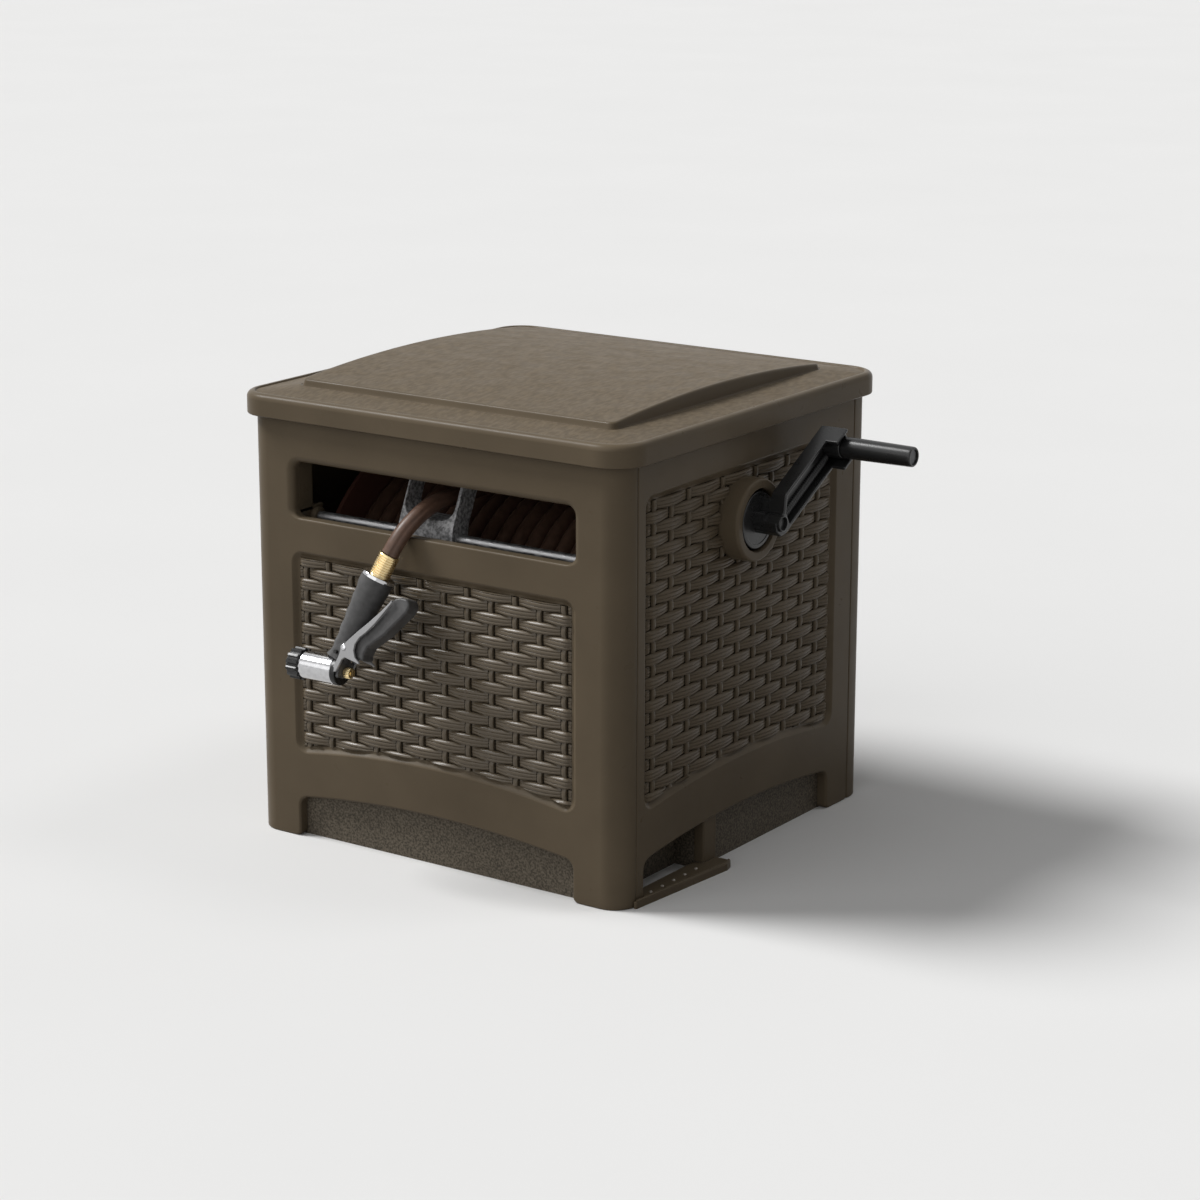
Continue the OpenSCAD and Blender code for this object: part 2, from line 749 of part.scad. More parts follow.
module spigot_seals() {
    seal_r = 1;
    color(rubber_grey) for (x = seal_places())
        along_x(x, crank_y, reel_z) rotate_extrude() translate([axle_r - seal_r, 0]) circle(seal_r);
}
module inlet_washer() {
    x1 = -hw + field_depth;
    color(rubber_grey) ring_x(x1 - washer_t, x1, crank_y, reel_z, inlet_flange_r - 3, neck_r + slip);
}
module inlet_nut() {
    color(brass) difference() {
        along_x(-in_x, crank_y, reel_z) cylinder(r = inlet_flange_r, h = nut_t, $fn = 6);
        bar_x(-in_x - 1, -in_x + nut_t + 1, crank_y, reel_z, neck_r + slip);
    }
}

// Smooth rod of the hose guide and the sockets at its ends
module guide_rod() {
    color(steel) bar_x(-cheek_x - cheek_t, cheek_x + cheek_t, rod_y, rod_z, rod_r);
}
module rod_sockets() {
    color(plastic) for (s = [-1, 1])
        ring_x(s * (cheek_x - socket_t / 2) - socket_t / 2, s * (cheek_x - socket_t / 2) + socket_t / 2,
            rod_y, rod_z, socket_r, rod_r + slip);
}

// Lid

// Pins of the lid's hinges, and the bores that they go through
module hinge_bores(r, extra = 1) {
    for (s = [-1, 1])
        bar_x(s * hinge_x - hinge_len / 2 - extra, s * hinge_x + hinge_len / 2 + extra, hinge_y, hinge_z, r);
}
module hinge_pins() {
    color(steel) hinge_bores(hinge_r, 0);
}

// The raised panel's outline, lowered by the given amount and drawn in by it
module crown(inset) {
    intersection() {
        translate([-crown_x + inset, crown_y0 + inset, lid_z0])
            cube([2 * (crown_x - inset), crown_y1 - crown_y0 - 2 * inset, far]);
        along_x(-far / 2, crown_mid, lid_z1 + crown_h - crown_r - inset)
            cylinder(r = crown_r, h = far, $fn = 720);
    }
}

// The lid's outer shape without the raised panel: a rounded plate with a rolled rim
function rim_profile(reach) = concat([[0, lid_z0], [reach, lid_z0]],
    [for (a = [0 : 22.5 : 90]) [reach - rim_w + rim_w * cos(a), lid_z1 - rim_w + rim_w * sin(a)]],
    [[0, lid_z1]]);
module rim_section(half) {
    polygon(rim_profile(half));
    mirror([1, 0]) polygon(rim_profile(half));
}
module lid_block(w, d, r) {
    along_x(-w / 2 + r) linear_extrude(w - 2 * r) rim_section(d / 2);
    along_y(-d / 2 + r) linear_extrude(d - 2 * r) rim_section(w / 2);
    for (q = [0 : 3])
        translate([(q == 0 || q == 3 ? 1 : -1) * (w / 2 - r), (q < 2 ? 1 : -1) * (d / 2 - r), 0])
            rotate(90 * q) rotate_extrude(angle = 90) polygon(rim_profile(r));
}
module lid_shell() {
    w = body_w + 2 * lid_over;
    d = body_d + 2 * lid_over;
    r = corner_r + lid_over;
    notch = hinge_ear + 2;
    ear = (hinge_len - notch) / 2;
    color(plastic) difference() {
        union() {
            lid_block(w, d, r);
            crown(0);
        }
        difference() {
            translate([0, 0, lid_z0 - 1]) linear_extrude(lid_z1 - lid_t - lid_z0 + 1)
                rounded(w - 2 * lid_t, d - 2 * lid_t, r - lid_t);
            // Ears of the hinges, beside the panel's ears
            for (s = [-1, 1], e = [-1, 1])
                translate([s * hinge_x + e * (notch + ear) / 2 - ear / 2, hinge_y - hinge_out_r, lid_z0])
                    cube([ear, far, far]);
        }
        difference() {
            crown(lid_t);
            translate([-far / 2, -far / 2, 0]) cube([far, far, lid_z1 - lid_t - 1]);
        }
        for (s = [-1, 1])
            translate([s * hinge_x - notch / 2, hd, lid_z0 - 1])
                cube([notch, far, hinge_z + hinge_out_r + 1 - lid_z0 + 1]);
        hinge_bores(hinge_r + run_fit);
        // The ears' lower front edge is cut back so that they turn clear of the wall
        translate([-far / 2, hinge_y - hinge_out_r - 1, lid_z0 - 1])
            cube([far, hinge_out_r - hinge_r, 2]);
    }
}

// Reel

module reel_drum() {
    color(plastic) difference() {
        ring_x(drum_x0, drum_x1, crank_y, reel_z, drum_r, drum_r - drum_t);
        elbow_tube(elbow_r + slip);
        for (p = flange_screw_points()) flange_screw(p, screw_r + slip);
    }
}

// Screws through both flanges into the drum's wall
function flange_screw_points() = [for (s = [-1, 1], a = [0 : 60 : 300]) [s, a]];
module flange_screw(p, r, head = false) {
    x = p[0] < 0 ? drum_x0 - flange_t : drum_x1 + flange_t;
    at = drum_r - drum_t / 2;
    translate([x, crank_y + at * cos(p[1]), reel_z + at * sin(p[1])]) rotate([0, -p[0] * 90, 0]) {
        cylinder(r = r, h = flange_t + 12);
        if (head) translate([0, 0, -screw_head_t]) cylinder(r = screw_head_r, h = screw_head_t);
    }
}
module flange_screws() {
    color(steel) for (p = flange_screw_points()) flange_screw(p, screw_r, true);
}
module left_flange() {
    x = drum_x0 - flange_t;
    color(plastic) difference() {
        union() {
            bar_x(x, drum_x0, crank_y, reel_z, flange_r);
            bar_x(left_hub_x, drum_x0, crank_y, reel_z, hub_r);
        }
        bar_x(left_hub_x - 1, drum_x0 + 1, crank_y, reel_z, axle_r + run_fit);
        for (p = flange_screw_points()) flange_screw(p, screw_r + slip);
    }
}
module right_flange() {
    color(plastic) difference() {
        union() {
            bar_x(drum_x1, drum_x1 + flange_t, crank_y, reel_z, flange_r);
            bar_x(drum_x1, gear_x0, crank_y, reel_z, hub_r);
        }
        bar_x(drum_x1 - 1, gear_x0 + 1, crank_y, reel_z, axle_r + slip);
        for (p = flange_screw_points()) flange_screw(p, screw_r + slip);
    }
}
module reel_axle() {
    color(steel) {
        bar_x(drum_x1 - 4, in_x - 1, crank_y, reel_z, axle_r);
        bar_x(drum_x1 - 8, drum_x1, crank_y, reel_z, axle_r + 6);
    }
}
module reel_gear() {
    color(black_plastic) difference() {
        along_x(gear_x0, crank_y, reel_z) rotate(90) linear_extrude(gear_w) polygon(gear_points(reel_teeth));
        bar_x(gear_x0 - 1, gear_x1 + 1, crank_y, reel_z, axle_r + slip);
    }
}

// Water elbow from the left hub out to the drum's wall
module elbow_tube(r) {
    translate([drum_x0 + elbow_x, crank_y, reel_z]) cylinder(r = r, h = drum_r);
}
module outlet_elbow() {
    color(brass) difference() {
        union() {
            bar_x(drum_x0, drum_x0 + elbow_len, crank_y, reel_z, hub_r - 4);
            intersection() {
                elbow_tube(elbow_r);
                bar_x(drum_x0, drum_x1, crank_y, reel_z, drum_r - 0.5);
            }
        }
        bar_x(drum_x0 - 1, drum_x0 + elbow_len - 4, crank_y, reel_z, axle_r + 1);
        elbow_tube(elbow_bore);
    }
}
module hose_core() {
    side_gap = 0.5;
    color(hose_brown) ring_x(drum_x0 + side_gap, drum_x1 - side_gap, crank_y, reel_z,
        wind_r - hose_d / 2 - wind_gap, drum_r + slip);
}

// Outer layer of the hose: one helix whose ends run straight for one diameter
function wind_point(t) = [wind_x0 + wind_pitch * t, crank_y - wind_r * sin(360 * t),
    reel_z + wind_r * cos(360 * t)];
function wind_heading(t) = unit([wind_pitch / (2 * PI * wind_r), -cos(360 * t), -sin(360 * t)]);
module hose_winding() {
    steps = hose_loops * loop_rings;
    turns = [for (i = [0 : steps]) i / loop_rings];
    run = concat([wind_point(0) - hose_d * wind_heading(0)], [for (t = turns) wind_point(t)],
        [wind_point(hose_loops) + hose_d * wind_heading(hose_loops)]);
    dirs = concat([wind_heading(0)], [for (t = turns) wind_heading(t)], [wind_heading(hose_loops)]);
    echo("least gap between the hose's loops", least_gap(run, loop_rings / 2, hose_d));
    color(hose_brown) tube(run, dirs, hose_d / 2, 6);
}

// Crank

module crank_shaft() {
    color(steel) difference() {
        bar_x(gear_x0 - 2, arm_x0, crank_y, crank_z, shaft_r);
        bar_x(arm_x0 - crank_screw_len, arm_x0 + 1, crank_y, crank_z, crank_screw_r + slip);
    }
}
module crank_gear() {
    tooth_turn = 270 + 180 / crank_teeth;
    color(black_plastic) difference() {
        union() {
            along_x(gear_x0, crank_y, crank_z) rotate(tooth_turn) linear_extrude(gear_w)
                polygon(gear_points(crank_teeth));
            bar_x(gear_x1 - 1, in_x - bush_flange_t - 0.3, crank_y, crank_z, shaft_r + 6);
        }
        bar_x(gear_x0 - 1, in_x, crank_y, crank_z, shaft_r + slip);
    }
}
module crank_hub() {
    color(black_plastic) difference() {
        union() {
            bar_x(disc_x0, disc_x1, crank_y, crank_z, crank_disc_r);
            along_x(disc_x1 - 1, crank_y, crank_z) rotate(crank_angle)
                linear_extrude(hub_block + 1) polygon(concat([[hub_reach, -arm_under]], arm_root()));
        }
        bar_x(disc_x0 - 1, arm_x0 + 1, crank_y, crank_z, shaft_r + slip);
    }
}

// Outline of the crank's root: the arm's upper side, a step, a tail round the axis and the lower side
function arm_root() = [[22, arm_over], [11, 6], [-8, 6], [-11, -4], [-7, -13], [3, -arm_under]];

// Channelled arm that opens outwards, with a rib, a lug on the axis and a boss for the grip's pin
module crank_arm() {
    end = crank_len + arm_past;
    rib_n = -5.5;
    rib_from = 20;
    color(black_plastic) along_x(arm_x0, crank_y, crank_z) rotate(crank_angle) difference() {
        union() {
            difference() {
                linear_extrude(arm_t) polygon(concat(arm_root(),
                    [[end, -arm_under], [end, 2], [crank_len - boss_r, arm_over]]));
                translate([0, 0, arm_floor]) linear_extrude(arm_t) polygon([[26, arm_over - arm_wall],
                    [14, 4], [14, arm_wall - arm_under], [end - arm_wall, arm_wall - arm_under],
                    [end - arm_wall, 0], [crank_len - boss_r - 2, arm_over - arm_wall]]);
            }
            // The floor's square corner, past the walls' slant
            linear_extrude(arm_floor) translate([crank_len - boss_r - 1, 1])
                square([arm_past + boss_r + 1, arm_over - 1]);
            intersection() {
                translate([rib_from, rib_n, arm_floor]) rotate([0, 90, 0])
                    cylinder(r = rib_r, h = crank_len - boss_r - rib_from);
                linear_extrude(arm_t) translate([0, -arm_under]) square([crank_len, arm_over + arm_under]);
            }
            translate([crank_len, 0]) cylinder(r = boss_r, h = arm_t + boss_out);
            cylinder(r = lug_r, h = arm_t + lug_out);
        }
        translate([crank_len, 0, -1]) cylinder(r = pin_r + slip, h = far);
        translate([0, 0, -1]) cylinder(r = crank_screw_r + slip, h = far);
        translate([0, 0, arm_floor]) cylinder(r = crank_head_r + slip, h = far);
    }
}
module crank_screw() {
    color(steel) {
        bar_x(arm_x0 - crank_screw_len + 1, arm_x0 + arm_floor, crank_y, crank_z, crank_screw_r);
        bar_x(arm_x0 + arm_floor, arm_x0 + arm_floor + crank_head_t, crank_y, crank_z, crank_head_r);
    }
}
grip_y = crank_y + crank_len * cos(crank_angle);
grip_z = crank_z + crank_len * sin(crank_angle);
module grip_pin() {
    color(steel) {
        bar_x(arm_x0, grip_x1 - pin_sink, grip_y, grip_z, pin_r);
        bar_x(grip_x1 - pin_sink - pin_head_t, grip_x1 - pin_sink, grip_y, grip_z, pin_head_r);
    }
}
module crank_grip() {
    color(black_plastic) difference() {
        bar_x(grip_x0, grip_x1, grip_y, grip_z, grip_r);
        bar_x(grip_x0 - 1, grip_x1, grip_y, grip_z, pin_r + run_fit);
        bar_x(grip_x1 - pin_sink - pin_head_t - 0.3, grip_x1 + 1, grip_y, grip_z, pin_head_r + 0.3);
    }
}

// Hose guide

// Yoke on the rod, with a ring for the hose
module guide_carriage() {
    color(rubber_grey) difference() {
        translate([carriage_x - carriage_w / 2, rod_y - carriage_d / 2, carriage_z0])
            cube([carriage_w, carriage_d, carriage_z1 - carriage_z0]);
        along_y(rod_y - carriage_d) translate([carriage_x, rod_z + ring_up])
            cylinder(r = ring_r, h = 2 * carriage_d);
        bar_x(-far, far, rod_y, rod_z, guide_bush_r + slip);
    }
}
module guide_bushes() {
    color(black_plastic) for (s = [-1, 1]) {
        x0 = carriage_x + s * (carriage_w - bush_len) / 2 - bush_len / 2;
        ring_x(x0, x0 + bush_len, rod_y, rod_z, guide_bush_r, rod_r + run_fit);
    }
}

// Free end of the hose
module hose_lead() {
    last = len(lead_route) - 1;
    dirs = [for (i = [0 : last])
        i == 0 ? [0, -1, 0] : i == last ? unit(lead_end_dir) : heading(lead_route, i)];
    color(hose_brown) tube(lead_route, dirs, hose_d / 2, 12);
}

// Nozzle

// Puts its children in the nozzle's frame: barrel along X, at the origin
module in_nozzle() {
    translate(barrel_at) rotate([nozzle_tilt, 0, 0]) children();
}

// Puts its children on the grip's axis, with Z up it and zero at the barrel's axis
module on_grip() {
    in_nozzle() rotate([0, grip_lean, 0]) children();
}
module hose_coupling() {
    rib_pitch = 4;
    color(brass) on_grip() {
        difference() {
            translate([0, 0, nozzle_len - coupling_len]) cylinder(r = coupling_r, h = coupling_len - 0.2);
            for (z = [nozzle_len - coupling_len + 3 : rib_pitch : nozzle_len - 3])
                translate([0, 0, z]) rotate_extrude() translate([coupling_r, 0]) circle(0.9, $fn = 16);
        }
        translate([0, 0, nozzle_len - coupling_len - tail_len]) cylinder(r = tail_r, h = tail_len);
    }
}
module nozzle_collar() {
    color(steel) on_grip() difference() {
        translate([0, 0, nozzle_len - coupling_len - collar_t]) cylinder(r = collar_r, h = collar_t);
        translate([0, 0, nozzle_len - coupling_len - tail_len]) cylinder(r = tail_r + slip, h = tail_len + 1);
    }
}
module nozzle_grip() {
    top = nozzle_len - coupling_len - collar_t;
    color(rubber_grey) difference() {
        on_grip() difference() {
            cylinder(r1 = neck_end_r, r2 = collar_r, h = top);
            translate([0, 0, nozzle_len - coupling_len - tail_len - 2]) cylinder(r = tail_r + slip, h = far);
        }
        in_nozzle() bar_x(-far, far, 0, 0, barrel_r + slip);
        in_nozzle() translate([pivot[0], 0, pivot[1]]) rotate([90, 0, 0])
            cylinder(r = pivot_r + slip, h = far, center = true);
    }
}
module nozzle_barrel() {
    color(steel) in_nozzle() difference() {
        union() {
            bar_x(-barrel_front, barrel_rear, 0, 0, barrel_r);
            bar_x(-barrel_front - guard_len + 2, -barrel_front + 1, 0, 0, barrel_r - 2);
        }
        bar_x(valve_x - 0.3, barrel_rear - rear_wall, 0, 0, barrel_bore);
        bar_x(-far, 0, 0, 0, seat_r);
        bar_x(0, far, 0, 0, stem_r + run_fit);
    }
}
module barrel_guard() {
    color(black_plastic) in_nozzle()
        ring_x(-barrel_front - guard_len, -barrel_front, 0, 0, guard_r, barrel_r - 2 + slip);
}
module trigger_pin() {
    color(steel) in_nozzle() translate([pivot[0], 0, pivot[1]]) rotate([90, 0, 0])
        cylinder(r = pivot_r, h = trigger_w + 2, center = true);
}

// Rear trigger: two ears on the pin, a fork behind the barrel and a lever beside the grip
module trigger_lever() {
    neck_room = trigger_w - 2 * ear_t;
    tip = [82, 81];
    heel = [40, 3];
    color(black_plastic) in_nozzle() difference() {
        rotate([90, 0, 0]) linear_extrude(trigger_w, center = true) {
            translate(pivot) circle(ear_r);
            polygon([[pivot[0], pivot[1] - ear_r], [fork_x0, 12], [fork_x0, -8], [fork_x0 + 1.2, -8],
                [fork_x0 + fork_t, 0], [fork_x0 + fork_t + 10, 8], heel, [heel[0] - 6, 16],
                [tip[0] + 4, tip[1] - 8], tip, [tip[0] - 8, tip[1] + 1],
                [pivot[0] + 14, pivot[1] + 10], [pivot[0], pivot[1] + ear_r]]);
        }
        // Room for the grip's neck between the ears
        translate([-far + heel[0] - 4, -neck_room / 2, barrel_r - 4.5]) cube([far, neck_room, far]);
        bar_x(-far, far, 0, 0, stem_r + 2);
        translate([fork_x0 + fork_t, -flow_nut_r - 1.5, -far / 2])
            cube([nut_len + 4, 2 * flow_nut_r + 3, far / 2 + flow_nut_r + 4]);
        translate([pivot[0], 0, pivot[1]]) rotate([90, 0, 0])
            cylinder(r = pivot_r + run_fit, h = far, center = true);
    }
}
module valve_stem() {
    color(brass) in_nozzle() {
        bar_x(valve_x, nut_x0 + nut_len + 1, 0, 0, stem_r);
        bar_x(valve_x, valve_x + valve_t, 0, 0, valve_r);
    }
}
module flow_nut() {
    color(brass) in_nozzle() difference() {
        along_x(nut_x0) cylinder(r = flow_nut_r, h = nut_len, $fn = 12);
        bar_x(-far, far, 0, 0, stem_r + run_fit);
    }
}

// Return spring of the valve, one helix round the stem
module valve_spring() {
    x0 = valve_x + valve_t + wire_r + 0.3;
    x1 = barrel_rear - rear_wall - wire_r - 0.3;
    rings = 8;
    steps = spring_turns * rings;
    run = [for (i = [0 : steps]) let(a = 360 * i / rings)
        [x0 + (x1 - x0) * i / steps, spring_r * sin(a), spring_r * cos(a)]];
    dirs = [for (i = [0 : steps]) let(a = 360 * i / rings)
        unit([(x1 - x0) / steps * rings / (2 * PI * spring_r), cos(a), -sin(a)])];
    echo("least gap between the spring's curls", least_gap(run, rings / 2, 2 * wire_r));
    color(steel) in_nozzle() tube(run, dirs, wire_r, 6);
}

base_tray();
step_pad();
front_panel();
back_panel();
left_panel();
right_panel();
panel_screws();
crank_escutcheon();
crank_bush();
reel_bearing();
inlet_spigot();
inlet_washer();
inlet_nut();
spigot_seals();
guide_rod();
rod_sockets();
hinge_pins();
lid_shell();
reel_drum();
left_flange();
right_flange();
flange_screws();
reel_axle();
reel_gear();
outlet_elbow();
hose_core();
hose_winding();
crank_shaft();
crank_gear();
crank_hub();
crank_arm();
crank_screw();
grip_pin();
crank_grip();
guide_carriage();
guide_bushes();
hose_lead();
hose_coupling();
nozzle_collar();
nozzle_grip();
nozzle_barrel();
barrel_guard();
trigger_pin();
valve_spring();
trigger_lever();
valve_stem();
flow_nut();
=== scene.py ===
import logging
import math
from dataclasses import dataclass
from enum import Enum
from typing import Callable, Optional, Sequence, Union

import bmesh
import bpy
import numpy as np
from mathutils import Matrix, Vector
from mathutils.geometry import delaunay_2d_cdt


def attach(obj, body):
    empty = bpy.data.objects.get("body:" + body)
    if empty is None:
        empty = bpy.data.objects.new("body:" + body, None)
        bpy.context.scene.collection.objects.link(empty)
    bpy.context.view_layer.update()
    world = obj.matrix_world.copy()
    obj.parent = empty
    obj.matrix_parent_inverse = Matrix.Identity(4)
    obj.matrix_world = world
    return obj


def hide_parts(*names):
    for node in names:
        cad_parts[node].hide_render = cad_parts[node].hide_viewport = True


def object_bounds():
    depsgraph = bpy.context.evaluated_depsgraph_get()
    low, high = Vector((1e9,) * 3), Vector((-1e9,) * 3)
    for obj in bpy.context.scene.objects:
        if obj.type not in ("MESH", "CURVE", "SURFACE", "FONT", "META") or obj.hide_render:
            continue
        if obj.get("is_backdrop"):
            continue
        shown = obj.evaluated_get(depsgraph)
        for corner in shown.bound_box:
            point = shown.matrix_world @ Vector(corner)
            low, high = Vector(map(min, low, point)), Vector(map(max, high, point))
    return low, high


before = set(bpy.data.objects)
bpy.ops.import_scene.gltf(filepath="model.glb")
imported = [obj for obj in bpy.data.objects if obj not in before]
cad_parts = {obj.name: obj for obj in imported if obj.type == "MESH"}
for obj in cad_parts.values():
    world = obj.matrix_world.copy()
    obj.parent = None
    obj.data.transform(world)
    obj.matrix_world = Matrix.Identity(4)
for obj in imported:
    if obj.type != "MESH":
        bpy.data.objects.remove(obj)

# Looks of a hose reel box with a wound hose, a side crank and a trigger nozzle.
# Sizes are millimetres until a mesh is made. +Z is up, the slot faces -Y and the crank stands on +X.

LOG = logging.getLogger("hose_reel_box")
MM = 0.001

Colour = tuple[float, float, float]
Point = tuple[float, float, float]
Corner = tuple[float, float, float]
Place = Callable[[float, float, float], Sequence[float]]
Inset = Union[float, np.ndarray]
Section = Sequence[tuple[Inset, Inset]]
Profile = Sequence[tuple[float, float]]


class Body(Enum):
    """Bodies that pieces ride on."""

    CASE = "case"
    LID = "lid"
    REEL = "reel"
    CRANK = "crank"
    HANDLE = "crank_handle"
    GUIDE = "hose_guide"
    TRIGGER = "trigger"
    VALVE = "valve"
    NUT = "nut"


class Side(Enum):
    """The four walls of the case."""

    FRONT = "front"
    BACK = "back"
    LEFT = "left"
    RIGHT = "right"


# Finishes


class Graph:
    """A material's node tree, with short ways to add and join nodes."""

    def __init__(self, name: str) -> None:
        """Starts an empty tree with a surface shader and an output.

        Args:
            name: Name of the material.
        """
        self.material = bpy.data.materials.new(name)
        self.material.use_nodes = True
        self.tree = self.material.node_tree
        self.tree.nodes.clear()
        output = self.tree.nodes.new("ShaderNodeOutputMaterial")
        self.surface = self.tree.nodes.new("ShaderNodeBsdfPrincipled")
        self.join(self.surface.outputs[0], output.inputs[0])
        self.place = self.tree.nodes.new("ShaderNodeTexCoord").outputs["Object"]

    def join(self, source: bpy.types.NodeSocket, target: bpy.types.NodeSocket) -> None:
        """Links two sockets.

        Args:
            source: Output socket.
            target: Input socket.
        """
        self.tree.links.new(source, target)

    def set(self, **values: object) -> None:
        """Writes constants on the surface shader.

        Args:
            values: Socket names, with underscores for spaces, and their values.
        """
        for key, value in values.items():
            self.surface.inputs[key.replace("_", " ")].default_value = value

    def noise(
        self, scale: float, detail: float = 3.0, stretch: Sequence[float] = (1.0, 1.0, 1.0)
    ) -> bpy.types.NodeSocket:
        """Adds a noise field.

        Args:
            scale: Waves per metre.
            detail: Number of finer layers.
            stretch: Factors on the three axes.

        Returns:
            The field's factor.
        """
        node = self.tree.nodes.new("ShaderNodeTexNoise")
        node.inputs["Scale"].default_value = scale
        node.inputs["Detail"].default_value = detail
        source = self.place
        if tuple(stretch) != (1.0, 1.0, 1.0):
            mapping = self.tree.nodes.new("ShaderNodeMapping")
            mapping.inputs["Scale"].default_value = stretch
            self.join(self.place, mapping.inputs["Vector"])
            source = mapping.outputs[0]
        self.join(source, node.inputs["Vector"])
        return node.outputs["Fac"]

    def span(
        self, source: bpy.types.NodeSocket, low: float, high: float, to_low: float, to_high: float
    ) -> bpy.types.NodeSocket:
        """Maps a value from one range to another, clamped.

        Args:
            source: Value to map.
            low: Start of the source range.
            high: End of the source range.
            to_low: Result at the start.
            to_high: Result at the end.

        Returns:
            The mapped value.
        """
        node = self.tree.nodes.new("ShaderNodeMapRange")
        for key, value in zip((1, 2, 3, 4), (low, high, to_low, to_high)):
            node.inputs[key].default_value = value
        self.join(source, node.inputs[0])
        return node.outputs[0]

    def mix(
        self,
        factor: bpy.types.NodeSocket,
        first: Union[Colour, bpy.types.NodeSocket],
        second: Union[Colour, bpy.types.NodeSocket],
    ) -> bpy.types.NodeSocket:
        """Mixes two colours.

        Args:
            factor: Share of the second colour.
            first: Colour or socket.
            second: Colour or socket.

        Returns:
            The mixed colour.
        """
        node = self.tree.nodes.new("ShaderNodeMix")
        node.data_type = "RGBA"
        self.join(factor, node.inputs[0])
        for index, value in ((6, first), (7, second)):
            if isinstance(value, bpy.types.NodeSocket):
                self.join(value, node.inputs[index])
            else:
                node.inputs[index].default_value = (*value, 1.0)
        return node.outputs[2]

    def bump(self, height: bpy.types.NodeSocket, strength: float, depth: float) -> None:
        """Adds a bump to the surface, over any that is there.

        Args:
            height: Height field.
            strength: Share of the bump.
            depth: Height of the bump in millimetres.
        """
        node = self.tree.nodes.new("ShaderNodeBump")
        node.inputs["Strength"].default_value = strength
        node.inputs["Distance"].default_value = depth * MM
        self.join(height, node.inputs["Height"])
        links = self.surface.inputs["Normal"].links
        if links:
            self.join(links[0].from_socket, node.inputs["Normal"])
        self.join(node.outputs[0], self.surface.inputs["Normal"])


def shade(colour: Colour, factor: float) -> Colour:
    """Scales a colour.

    Args:
        colour: Linear colour.
        factor: Brightness factor.

    Returns:
        The scaled colour.
    """
    return tuple(min(1.0, c * factor) for c in colour)


@dataclass(frozen=True)
class Finish:
    """A finish that pieces share."""

    name: str
    slot: str
    colour: Colour

    def draw(self, graph: Graph) -> None:
        """Fills the node tree.

        Args:
            graph: Tree to fill.
        """
        raise NotImplementedError

    def material(self) -> bpy.types.Material:
        """Finds or makes the material.

        Returns:
            The finish's material.
        """
        name = f"{self.name}_finish"
        found = bpy.data.materials.get(name)
        if found is not None:
            return found
        graph = Graph(name)
        self.draw(graph)
        return graph.material


@dataclass(frozen=True)
class Moulded(Finish):
    """Moulded plastic with a fine skin grain and faint patches of tone."""

    roughness: float = 0.42
    grain: float = 900.0
    depth: float = 0.05
    patch: float = 0.10
    speckle: float = 0.0
    specular: float = 0.45
    stretch: tuple[float, float, float] = (1.0, 1.0, 1.0)

    def draw(self, graph: Graph) -> None:
        """Fills the node tree.

        Args:
            graph: Tree to fill.
        """
        patches = graph.noise(9.0, 4.0)
        tone = graph.mix(
            graph.span(patches, 0.3, 0.7, 0.0, 1.0),
            shade(self.colour, 1.0 - self.patch),
            shade(self.colour, 1.0 + self.patch),
        )
        fine = graph.noise(self.grain, 2.0, self.stretch)
        if self.speckle > 0.0:
            light = graph.span(fine, 0.36, 0.66, 0.0, 1.0)
            dark, pale = shade(self.colour, 1.0 - self.speckle), shade(self.colour, 1.0 + self.speckle)
            tone = graph.mix(light, dark, pale)
        graph.join(tone, graph.surface.inputs["Base Color"])
        wear = graph.noise(40.0, 5.0)
        rough = graph.span(wear, 0.3, 0.7, self.roughness - 0.05, self.roughness + 0.07)
        graph.join(rough, graph.surface.inputs["Roughness"])
        graph.bump(fine, 0.6, self.depth)
        graph.set(Specular_IOR_Level=self.specular)


@dataclass(frozen=True)
class Rubber(Finish):
    """Dull rubber or soft vinyl with a lengthwise draw and fine dust."""

    roughness: float = 0.62
    grain: float = 700.0
    specular: float = 0.35

    def draw(self, graph: Graph) -> None:
        """Fills the node tree.

        Args:
            graph: Tree to fill.
        """
        dust = graph.noise(130.0, 6.0)
        tone = graph.mix(
            graph.span(dust, 0.35, 0.75, 0.0, 1.0), shade(self.colour, 0.85), shade(self.colour, 1.25)
        )
        graph.join(tone, graph.surface.inputs["Base Color"])
        rough = graph.span(dust, 0.3, 0.7, self.roughness - 0.08, self.roughness + 0.08)
        graph.join(rough, graph.surface.inputs["Roughness"])
        graph.bump(graph.noise(self.grain, 3.0), 0.5, 0.06)
        graph.set(Specular_IOR_Level=self.specular)


@dataclass(frozen=True)
class Metal(Finish):
    """Bare or plated metal with fine wear."""

    roughness: float = 0.22
    stretch: tuple[float, float, float] = (1.0, 1.0, 1.0)

    def draw(self, graph: Graph) -> None:
        """Fills the node tree.

        Args:
            graph: Tree to fill.
        """
        wear = graph.noise(220.0, 5.0, self.stretch)
        tone = graph.mix(
            graph.span(wear, 0.3, 0.7, 0.0, 1.0), shade(self.colour, 0.86), shade(self.colour, 1.06)
        )
        graph.join(tone, graph.surface.inputs["Base Color"])
        rough = graph.span(wear, 0.3, 0.7, self.roughness * 0.7, self.roughness * 1.4)
        graph.join(rough, graph.surface.inputs["Roughness"])
        graph.bump(graph.noise(900.0, 2.0, self.stretch), 0.25, 0.02)
        graph.set(Metallic=1.0)


